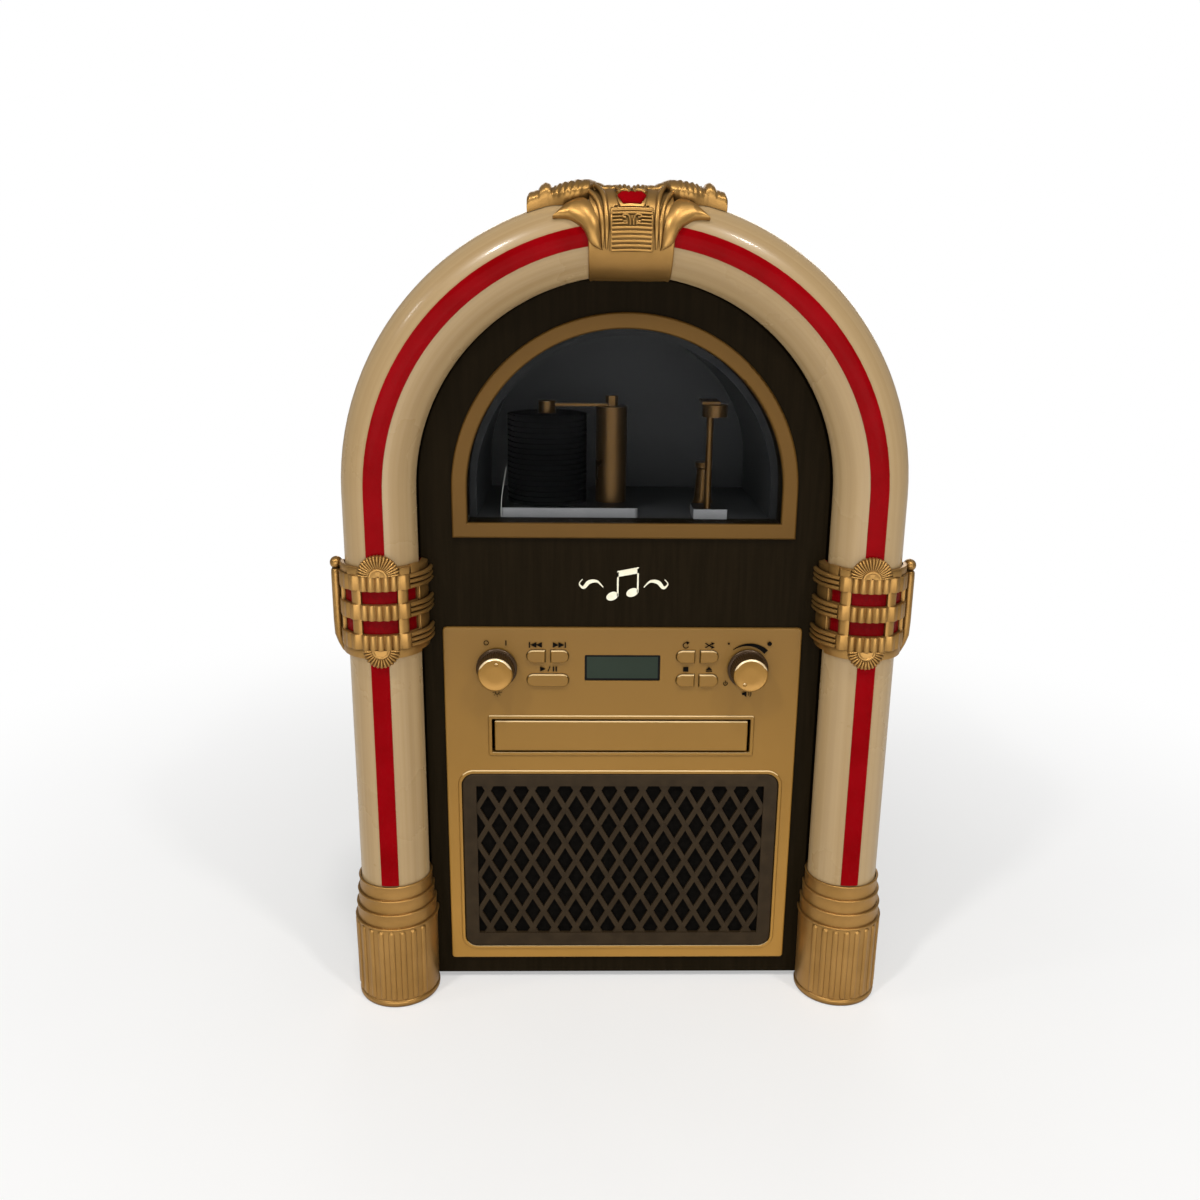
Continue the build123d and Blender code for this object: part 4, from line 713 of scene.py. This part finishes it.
def make_cheek(band, side):
    """Inner side of the band: a cheek back to the baffle, with three ridges in line with each belt."""
    def on_cheek(p, q, z):
        return (side * (TUBE_X + p), min(TUBE_Y - q, FACE_Y - 0.05), z)

    outside, inside = smooth_path(CHEEK_OUT, 5), smooth_path(CHEEK_IN, 5)
    band.grid([[on_cheek(*inner, BAND_FOOT_Z + 1), on_cheek(*outer, BAND_FOOT_Z + 1.6),
                on_cheek(*outer, BAND_TOP_Z - 1.6), on_cheek(*inner, BAND_TOP_Z - 0.6)]
               for inner, outer in zip(inside, outside)])
    ridge = smooth_path(RIDGE_PATH, 6)
    for low_z, high_z in BELTS:
        for shift in (-2.9, 0, 2.9):
            z = (low_z + high_z) / 2 + shift
            band.rod([on_cheek(p, q, z) for p, q in ridge], RIDGE_R, sides=12)


def make_fin(band, side):
    """Upright spine on the outside of the band, with a ball on top."""
    rows = []
    for z, radius, lean in FIN_ROWS:
        row = []
        for angle in angles_round(24):
            row.append((side * (TUBE_X + FIN_P + lean + radius * math.cos(angle)),
                        TUBE_Y - FIN_Q - 1.7 * radius * math.sin(angle), z))
        rows.append(row)
    band.grid(rows)
    ball = [(BALL_R * math.sin(math.pi * i / 12) + 0.02, -BALL_R * math.cos(math.pi * i / 12))
            for i in range(13)]
    band.lathe(ball, lambda u, v, h: (side * (TUBE_X + FIN_P + 0.2 + u), TUBE_Y - FIN_Q - 1.15 * v,
                                      FIN_TOP_Z + 2.7 + h), sides=28)


def make_band(side, node):
    band = Solid()

    def at(turn, reach, z):
        return tube_point(side, BAND_TURN + turn, reach, z)

    make_belts(band, at)
    band_fan(band, side, BELTS[0][1] - 0.4, 12.3, 12, 19, 1)
    band_fan(band, side, BELTS[2][0] + 0.4, 10.6, 10.2, 15, -1)
    make_cheek(band, side)
    make_fin(band, side)
    band.build(node + "_ornate", "gold_paint", replaces=node, sharp=38)


make_band(RIGHT, "right_band")
make_band(LEFT, "left_band")


# ---- crest over the top of the arch ----
CREST_IN_R = TUBE_R + 0.8
STRAP_EDGE = ((-88, 20.6), (-80, 21), (-18, 21.3), (-5, 21.6), (10, 22.4), (54, 21), (120, 21))
STRAP_RELIEF = ((0, 22.9), (0.9, 22.7), (0.94, 23), (0.975, 23), (0.995, 22.6), (1, 21.6))
STRAP_SHARES = (-1, -0.995, -0.975, -0.94, -0.9, -0.6, -0.3, 0, 0.3, 0.6, 0.9, 0.94, 0.975, 0.995, 1)
HORN_OUT = ((14.4, -20), (17.6, -16), (20.8, -9), (22.3, 0), (24, 9), (27, 18), (30.9, 26.5),
            (34.4, 30.5), (38.8, 33.6))
HORN_IN = ((14.2, -20), (14.6, -12), (15, 0), (16, 14), (18, 29), (20.4, 44), (24.4, 55.5),
           (31, 52.5), (39.2, 35.2))
HORN_RELIEF = ((0, 20.3), (0.02, 22.3), (0.06, 23.3), (0.13, 23.9), (0.26, 24.4), (0.42, 24.6),
               (0.58, 24.5), (0.74, 24), (0.86, 23.5), (0.95, 23.1), (1, 20.9))
LEAVES = (((12.3, -19), (12.3, 8), (12.8, 30), (13.9, 50), (16.5, 70), (21, 88), (25, 100)),
          ((14.2, -16), (14.4, 8), (15.6, 30), (17.8, 48), (21.6, 64), (26.5, 78), (30.5, 90)))
LEAF_R = (1.35, 1.25)
WING_TOP = ((0, 21.8), (3, 22.6), (6, 24), (13, 24.3), (18, 26.6), (21, 27.8), (27, 28.5), (34, 28.4),
            (38.5, 27.4), (39.6, 27.2), (40.6, 28.7), (43, 29.9), (45.4, 29.2), (46.6, 27.7),
            (48, 28.2), (51, 28), (52.3, 27.4))
WING_FOOT = ((0, 74), (19, 72), (21, 60), (26, 55), (30, 54), (34, 56), (38, 62), (42, 66), (52.3, 68))
WING_STEPS = 240
RIGHT_WING_SCALE = 0.93  # the right wing is a little shorter than the left one
GEM_TURN, GEM_HALF_TURN = 42.8, 8.6
PLAQUE_SECTION = ((-10.6, 22), (-10.6, 23.7), (-10.2, 24), (-9.6, 24), (-9.3, 23.4), (0, 23.5),
                  (9.3, 23.4), (9.6, 24), (10.2, 24), (10.6, 23.7), (10.6, 22), (0, 22))
SCROLL = ((0.8, 7.8), (0.9, 14), (1.9, 19.6), (4, 20.2), (4.5, 17.6), (3.1, 16.6))
STEM = ((2.2, 8.4), (2.5, 12), (4.3, 12.4))
PETALS = ((1, 1.5, 68, 1), (2.3, 3.6, 72, 1.15), (4.2, 6, 71, 1.15), (5.8, 7.9, 66, 1))
CURL = ((0.9, 49), (1.9, 52.6), (3.9, 53.8), (5.7, 52.2), (6.9, 49))


def strap_point(x, turn, reach):
    """Like arch_point, but low on the strap its section stays level from side to side."""
    share = min(1, max(0, (turn + 45) / 65))
    share = share * share * (3 - 2 * share)
    middle, curved = arch_point(0, turn, reach), arch_point(x, turn, reach)
    return (x, curved[1], middle[2] + (curved[2] - middle[2]) * share)


def make_strap(crest):
    rows = []
    for i in range(72):
        turn = -88 + 208 * i / 71
        edge = blend_value(turn, STRAP_EDGE)
        lip = 0.55 * max(0, 1 - abs(turn + 86.5) / 2.2)
        row = []
        for share in STRAP_SHARES:
            row.append(strap_point(share * edge, turn, blend_value(abs(share), STRAP_RELIEF) + lip))
        row += [strap_point(share * edge, turn, CREST_IN_R) for share in (1, 0.5, 0, -0.5, -1)]
        rows.append(row)
    crest.grid(rows)


def make_horn(crest, side):
    """Plump curled leaf that starts as a point low on the strap and ends as a point over the tube."""
    outer = smooth_path(HORN_OUT, 8)
    inner = smooth_path(HORN_IN, 8)
    last = len(outer) - 1
    rows = []
    for step, ((x_out, turn_out), (x_in, turn_in)) in enumerate(zip(outer, inner)):
        swell = min(1, 0.15 + (last - step) / 14, 0.1 + step / 10)

        def at(share, reach):
            turn = turn_out + (turn_in - turn_out) * share
            return arch_point(side * (x_out + (x_in - x_out) * share), turn, reach)

        row = [at(share, 20.9 + (reach - 20.9) * (0.5 + 0.5 * swell)) for share, reach in HORN_RELIEF]
        row += [at(share, 20.3) for share in (0.95, 0.5, 0.05)]
        rows.append(row)
    crest.grid(rows)
    for leaf, radius in zip(LEAVES, LEAF_R):
        path = smooth_path(leaf, 6)
        rise = [23.1 + 3.2 * (i / len(path)) ** 3 for i in range(len(path))]
        crest.rod([arch_point(side * x, turn, reach) for (x, turn), reach in zip(path, rise)],
                  [radius * min(1, 0.3 + i / 8) for i in range(len(path))])


def rod_over(crest, side, points, steps, reach, radius, sides=10):
    """Round bar that follows a curve of (x, turn) points over the crest."""
    path = [arch_point(side * x, turn, reach) for x, turn in smooth_path(points, steps)]
    crest.rod(path, radius, sides=sides)


def bar_across(crest, turn, x_from, x_to, radius, reach):
    """Round rib that runs sideways over the strap."""
    crest.rod([arch_point(x_from + (x_to - x_from) * i / 12, turn, reach) for i in range(13)], radius)


def make_plaque(crest):
    """Ribbed plate on the strap: six ribs, a scroll panel, two ledges and the gem's seat."""
    crest.grid([[arch_point(x, -22.5 + 53 * i / 23, reach) for x, reach in PLAQUE_SECTION]
                for i in range(24)])
    for rib in range(6):
        bar_across(crest, -20.2 + 5.1 * rib, -10, 10, 0.85, 23.75)
    bar_across(crest, 22.6, -10.2, 10.2, 0.75, 23.9)
    bar_across(crest, 27.4, -9.9, 9.9, 1.25, 23.5)
    seat = ((-1, 22), (-1, 24.2), (0, 24.5), (1, 24.2), (1, 22))
    crest.grid([[arch_point(x * half_w, turn, reach) for x, reach in seat]
                for turn, half_w in ((30.5, 5.6), (33.5, 6.1), (36.5, 6.8), (55, 7.6))])
    for side in (LEFT, RIGHT):
        for turn, reach_in in ((9.9, 2.6), (13.9, 4.6), (18, 4.9)):
            bar_across(crest, turn, side * reach_in, side * 9.8, 0.5, 24.05)
        rod_over(crest, side, SCROLL, 6, 24.05, 0.6, sides=8)
        rod_over(crest, side, STEM, 5, 24, 0.5, sides=8)
        for foot_x, top_x, top_turn, radius in PETALS:
            points = ((foot_x, 56), ((foot_x + top_x) / 2, 62), (top_x, top_turn))
            radii = [radius * share for share in (0.6, 0.8, 1, 1, 1, 1, 1, 1, 1, 0.85, 0.5)]
            rod_over(crest, side, points, 5, 24.1, radii)
        bar_across(crest, 33.2, side * 6.9, side * 8.6, 0.55, 23.8)
        rod_over(crest, side, CURL, 5, 25, 1.15)


def wing_relief(way, turn):
    """Feathering on the wings: slanting ridges, weaker on top, then a barrel and a flat end."""
    on_top = 0.35 if turn > 85 else 1
    if 3 < way < 20:
        relief = 0.40 * abs(math.sin(math.pi * (way / 3.8 + (turn - 72) / 30))) - 0.25
        return relief * (on_top if way > 18 else 1)
    if 22 < way < 38.5:
        ridges = 0.95 * abs(math.sin(math.pi * ((way - 22) / 3.3 + (turn - 72) / 22))) - 0.5
        return min(1, (way - 22) / 5) * ridges * (on_top if way < 38 else 1)
    if 39.6 < way < 46.6:
        return 0.5 * math.sqrt(max(0, 1 - ((way - 43.1) / 3.5) ** 2))
    if way > 46.6:
        return 0.15 * math.cos((way - 46.6) * 1.4)
    return 0


def make_wings(crest):
    rows = []
    half_w = WING_TOP[-1][0]
    for i in range(WING_STEPS + 1):
        way_signed = -half_w + 2 * half_w * i / WING_STEPS
        way = abs(way_signed)
        x = way_signed * (RIGHT_WING_SCALE if way_signed > 0 else 1)
        rise = blend_value(way, WING_TOP) - CREST_IN_R
        foot = blend_value(way, WING_FOOT)
        shrink = 1 - 0.12 * max(0, 1 - (half_w - way))
        row = [arch_point(x, foot + 1, 20.2), arch_point(x, foot, 20.3)]
        slope = ((0.4, foot + 0.2), (0.66, foot + 1.6), (0.8, foot + 4), (0.89, foot + 8),
                 (0.95, foot + 13), (0.99, foot + 20), (1, 92), (1, 97), (1, 102), (0.99, 107),
                 (0.95, 111))
        for share, turn in slope:
            reach = CREST_IN_R + rise * share * shrink + (wing_relief(way, turn) if share > 0.5 else 0)
            row.append(arch_point(x, turn, max(reach, CREST_IN_R + 0.2)))
        row.append(arch_point(x, 118, min(24.6, CREST_IN_R + rise * 0.8)))
        row.append(arch_point(x, 121, CREST_IN_R))
        rows.append(row)
    crest.grid(rows)


crest = Solid()
make_strap(crest)
for side in (LEFT, RIGHT):
    make_horn(crest, side)
make_plaque(crest)
make_wings(crest)
crest.build("crest_ornate", "gold_paint", replaces="crest", sharp=45)

# the gem is a flat-topped lozenge, wider above than below
GEM_OUTLINE = ((-7.1, 0.35), (-5.6, 1), (0, 1), (5.6, 1), (7.1, 0.35), (4.4, -1), (0, -1),
               (-4.4, -1))
gem = Solid()
gem.grid([[arch_point(size * x, GEM_TURN + GEM_HALF_TURN * size * turn, reach)
           for x, turn in GEM_OUTLINE]
          for size, reach in ((1, 22.8), (1, 24.9), (0.9, 25.4), (0.72, 25.7), (0.05, 25.75))])
gem.build("crest_gem", "red_lens", replaces="crest_jewel", sharp=12)


# ---- knobs ----
KNOB_BACK_Y = PANEL_Y - 0.3
KNOB_TEETH = 48
KNURL_SHARE = 0.045
KNOB_FACE = ((1.5, 4), (1.7, 2.2), (1.75, 1.7), (1.9, 0.9), (2.3, 0.3), (2.9, 0), (3.3, 0.05),
             (3.7, 0.25))
DOT_REACH = 6.2


def make_knob(side, node, dot_turn):
    """Knurled knob with a flat face; dot_turn is where its raised dot sits, degrees from +X."""
    length = KNOB_BACK_Y - KNOB_FRONT_Y
    profile = [(3.2, 0), (KNOB_R - 0.5, 0), (KNOB_R, 0.5), (KNOB_R, 1.7), (KNOB_R - 0.5, 2.2),
               (KNOB_R - 1.1, 2.5), (KNOB_R - 1.15, 4)]
    profile += [(KNOB_R - inset, length - below) for inset, below in KNOB_FACE]
    profile += [(4, length - 0.3), (0.1, length - 0.3)]

    def knurl(angle, height):
        if 2.4 < height < length - 2:
            return 1 - KNURL_SHARE * (0.5 - 0.5 * math.cos(angle * KNOB_TEETH))
        return 1

    def place(u, v, height):
        return (side * KNOB_X + u, KNOB_BACK_Y - height, KNOB_Z + v)

    knob = Solid()
    knob.lathe(profile, place, sides=KNOB_TEETH * 4, wave=knurl)
    turn = math.radians(dot_turn)
    dot = [(0.95, -0.4), (0.95, 0.15), (0.8, 0.38), (0.45, 0.55), (0.05, 0.6)]
    dot_u, dot_v = DOT_REACH * math.cos(turn), DOT_REACH * math.sin(turn)
    knob.lathe(dot, lambda u, v, h: place(dot_u + u, dot_v + v, length - 0.3 + h), sides=20)
    knob.build(node + "_knurled", "gold_knob", node, node, sharp=30)


make_knob(LEFT, "light_knob", 84)
make_knob(RIGHT, "volume_knob", 238)


# ---- printed marks on the panel and the ornament above it ----
PRINT_T = 0.08
ICON_HIGH_Z, ICON_LOW_Z = 219.2, 204.75
KNOB_MARK_Z = 220.3
LAMP_X, LAMP_Z = -72, 190.4
OFF_X = 59.6
SPEAKER_Z = 189.9
marks = Solid()


def shape(*outline):
    marks.prism(outline, on_panel, PRINT_T)


def dot_print(x, z, radius):
    shape(*[(x + radius * math.cos(angle), z + radius * math.sin(angle)) for angle in angles_round(24)])


def ring_print(x, z, radius, line, start=0, sweep=360, grow=1):
    """Printed arc, line wide at its start and line * grow at its end."""
    count = 40
    rows = []
    for i in range(count + 1):
        angle = math.radians(start + sweep * i / count)
        half = line / 2 * (1 + (grow - 1) * i / count)
        rows.append([on_panel(x + reach * math.cos(angle), z + reach * math.sin(angle), height)
                     for reach, height in ((radius - half, 0), (radius - half, PRINT_T),
                                           (radius + half, PRINT_T), (radius + half, 0))])
    if abs(sweep) == 360:
        marks.grid(rows[:-1], loop=True)
    else:
        marks.grid(rows)


def triangle(x, z, way, half_w=1.7, half_h=1.65):
    shape((x - way * half_w, z - half_h), (x - way * half_w, z + half_h), (x + way * half_w, z))


def bar(x, z, half_w, half_h):
    shape(*[(x + u * half_w, z + v * half_h) for u, v in ((-1, -1), (1, -1), (1, 1), (-1, 1))])


# skip back and forward
for icon_x, way in ((-49.8, -1), (-36.2, 1)):
    triangle(icon_x - way * 2, ICON_HIGH_Z, way)
    triangle(icon_x + way * 1.2, ICON_HIGH_Z, way)
    bar(icon_x + way * 3.4, ICON_HIGH_Z, 0.35, 1.65)
# play and pause
triangle(-45.6, ICON_LOW_Z, 1, 1.6, 1.5)
shape(*[(x, ICON_LOW_Z + z) for x, z in ((-43, -1.7), (-42.5, -1.7), (-41.3, 1.7), (-41.8, 1.7))])
bar(-39.6, ICON_LOW_Z, 0.38, 1.5)
bar(-38, ICON_LOW_Z, 0.38, 1.5)
# stop and eject
bar(36.4, ICON_LOW_Z, 1.5, 1.4)
shape((48, ICON_LOW_Z - 0.3), (51.6, ICON_LOW_Z - 0.3), (49.8, ICON_LOW_Z + 1.6))
bar(49.8, ICON_LOW_Z - 1.1, 1.8, 0.32)
# repeat: a loop with an arrow head
ring_print(36.1, ICON_HIGH_Z, 1.6, 0.5, start=50, sweep=285)
shape((36.3, ICON_HIGH_Z + 2.5), (38.2, ICON_HIGH_Z + 1.7), (36.7, ICON_HIGH_Z + 0.4))
# shuffle: two crossing arrows
for way in (-1, 1):
    for outline in (((46.9, -1.2), (47.5, -1.55), (51.4, 0.95), (50.9, 1.35)),
                    ((50.6, 1.9), (52.6, 1.2), (51, 0.25))):
        shape(*[(x, ICON_HIGH_Z + way * z) for x, z in outline])
# off and on beside the light knob, and a lamp under it
ring_print(-77.8, KNOB_MARK_Z, 1.25, 0.45)
bar(-66.6, KNOB_MARK_Z, 0.3, 1.5)
ring_print(LAMP_X, LAMP_Z, 1.15, 0.42)
for ray in range(8):
    along_x, along_z = math.cos(math.radians(45 * ray)), math.sin(math.radians(45 * ray))
    shape(*[(LAMP_X + reach * along_x - half * along_z, LAMP_Z + reach * along_z + half * along_x)
            for reach, half in ((1.8, 0.18), (2.6, 0.18), (2.6, -0.18), (1.8, -0.18))])
# volume: small and large dots, a widening sweep, an off ring and a loudspeaker
dot_print(60.6, KNOB_MARK_Z, 0.6)
dot_print(84, KNOB_MARK_Z, 1.3)
ring_print(KNOB_X, KNOB_Z, 14.2, 0.35, start=128, sweep=-84, grow=8.5)
ring_print(OFF_X, 196.2, 1.1, 0.42, start=125, sweep=290)
bar(OFF_X, 197.1, 0.2, 1)
bar(70.1, SPEAKER_Z, 0.55, 0.75)
shape((70.5, 189.2), (70.5, 190.6), (72.1, 191.9), (72.1, 187.9))
for wave_r in (1.5, 2.7):
    ring_print(72, SPEAKER_Z, wave_r, 0.38, start=-42, sweep=84)
marks.build("panel_marks", "black_print")

# two beamed notes between short flourishes, in cream
NOTE_T = 0.35
NOTE_LEAN = math.radians(24)
FLOURISH = ((11.5, 252.6), (15, 256), (19.5, 255.6), (22.6, 252.4), (25, 254.6), (23.2, 257.2))
notes = Solid()


def on_baffle(x, z, height):
    """Point in front of the baffle, height millimetres proud of it."""
    return (x, FACE_Y - height, z)


for note_x, note_z in ((-6.3, 247.4), (5, 249.6)):
    head = []
    for angle in angles_round(28):
        u, v = 3.5 * math.cos(angle), 2.35 * math.sin(angle)
        head.append((note_x + u * math.cos(NOTE_LEAN) - v * math.sin(NOTE_LEAN),
                     note_z + u * math.sin(NOTE_LEAN) + v * math.cos(NOTE_LEAN)))
    notes.prism(head, on_baffle, NOTE_T)
    stem = ((2.6, 0), (3.5, 0), (3.5, 14.2), (2.6, 13.9))
    notes.prism([(note_x + x, note_z + z) for x, z in stem], on_baffle, NOTE_T)
notes.prism([(-3.7, 258.6), (8.5, 260.9), (8.5, 264.4), (-3.7, 262)], on_baffle, NOTE_T)
for side in (LEFT, RIGHT):
    flourish = smooth_path(FLOURISH, 6)
    last = len(flourish) - 1
    rows = []
    for i, (x, z) in enumerate(flourish):
        before, after = flourish[max(i - 1, 0)], flourish[min(i + 1, last)]
        ahead = Vector((after[0] - before[0], after[1] - before[1])).normalized()
        half = 0.25 + 0.85 * math.sin(math.pi * min(1, i / last * 1.15)) ** 2
        rows.append([on_baffle(side * (x - ahead.y * way), z + ahead.x * way, height)
                     for way, height in ((half, 0), (half, NOTE_T), (-half, NOTE_T), (-half, 0))])
    notes.grid(rows)
notes.build("note_ornament", "cream_print")


# ---- wire in the display ----
wire = Solid()
wire.rod(smooth_path(((-69.5, -68, WINDOW_FLOOR_Z + 0.4), (-69, -66, WINDOW_FLOOR_Z + 12),
                      (-66.5, -63, WINDOW_FLOOR_Z + 28)), 6), 0.22, sides=8)
wire.build("display_wire", "wire_white")


# ---- floor, lights and camera ----
def studio_floor_look():
    """Pale floor for the camera that fades to pure white far out, and a darker one for reflections."""
    look = material("floor_pale", (0.86, 0.86, 0.86), (0.89, 0.89, 0.89), rough=0.75, scale=4,
                    rough_vary=0.03, specular=0.1)
    nodes = look.node_tree.nodes
    away = add_node(look, "VectorMath", {"operation": "LENGTH"}, Vector=spot(look)).outputs["Value"]
    fade = add_node(look, "MapRange", {"interpolation_type": "SMOOTHSTEP"}, Value=away,
                    From_Min=0.12, From_Max=0.75, To_Min=0.4)
    near, far = nodes["Principled BSDF"].outputs[0], add_node(look, "Emission").outputs[0]
    pale = mix_shaders(look, fade.outputs["Result"], near, far)
    darker = add_node(look, "BsdfDiffuse", Color=(0.78, 0.78, 0.78)).outputs[0]
    seen = add_node(look, "LightPath").outputs["Is Camera Ray"]
    connect(look, mix_shaders(look, seen, darker, pale), nodes["Material Output"].inputs["Surface"])
    return look


floor_mesh = bpy.data.meshes.new("floor")
floor_mesh.from_pydata([(-6, -6, 0), (6, -6, 0), (6, 6, 0), (-6, 6, 0)], [], [(0, 1, 2, 3)])
floor_mesh.materials.append(studio_floor_look())
add_object("floor", floor_mesh)


def softbox(name, place, width, height, power, aim=(0, -0.05, 0.25)):
    lamp = bpy.data.lights.new(name, "AREA")
    lamp.shape = "RECTANGLE"
    lamp.size, lamp.size_y = width, height
    lamp.energy = power
    lamp.color = WARM
    holder = add_object(name, lamp)
    holder.location = place
    holder.rotation_mode = "QUATERNION"
    holder.rotation_quaternion = (Vector(aim) - Vector(place)).to_track_quat("-Z", "Y")


WARM = (1, 0.98, 0.94)
softbox("left_box", (-0.95, -1.25, 1.9), 0.18, 0.18, 15)
softbox("right_box", (0.95, -1.25, 1.9), 0.18, 0.18, 12)
softbox("middle_box", (0.1, -0.9, 2.1), 0.2, 0.2, 10)
softbox("far_left_box", (-1.7, -0.6, 1.5), 0.2, 0.2, 3)
softbox("front_fill", (0, -2.4, 0.45), 2.6, 0.85, 16)
softbox("rear_fill", (0.3, 2.6, 1), 2.2, 1.2, 24)
softbox("low_fill", (0, -1, 0.2), 1.6, 0.36, 2.6, (0, -0.1, 0.1))

# white behind everything for the camera, and a weaker glow as light
world = bpy.data.worlds.new("studio")
bpy.context.scene.world = world
world.use_nodes = True
world_nodes = world.node_tree.nodes
camera_sees = add_node(world, "LightPath").outputs["Is Camera Ray"]
backdrop = add_node(world, "Background", Color=(1, 1, 1), Strength=1).outputs[0]
glow = world_nodes["Background"]
connect(world, (0.97, 0.98, 1), glow.inputs["Color"])
connect(world, 0.22, glow.inputs["Strength"])
sky = mix_shaders(world, camera_sees, glow.outputs[0], backdrop)
connect(world, sky, world_nodes["World Output"].inputs["Surface"])

# seen from a little above and to the left, with a slight roll
CAMERA_AT = (-0.02575, -0.67866, 0.41152)
PITCH, YAW, ROLL = 0.272, 0.021, 0.010
ahead = Vector((math.sin(YAW) * math.cos(PITCH), math.cos(YAW) * math.cos(PITCH), -math.sin(PITCH)))
level = Vector((math.cos(YAW), -math.sin(YAW), 0))
upward = level.cross(ahead)
camera_x = level * math.cos(ROLL) + upward * math.sin(ROLL)
camera_y = upward * math.cos(ROLL) - level * math.sin(ROLL)
camera_data = bpy.data.cameras.new("camera")
camera_data.lens = 32.80
camera_data.sensor_width = 36
camera_data.clip_start = 0.01
camera = add_object("camera", camera_data)
turned = Matrix((camera_x, camera_y, -ahead)).transposed().to_4x4()
camera.matrix_world = Matrix.Translation(CAMERA_AT) @ turned
bpy.context.scene.camera = camera
bpy.context.scene.view_settings.view_transform = "Standard"
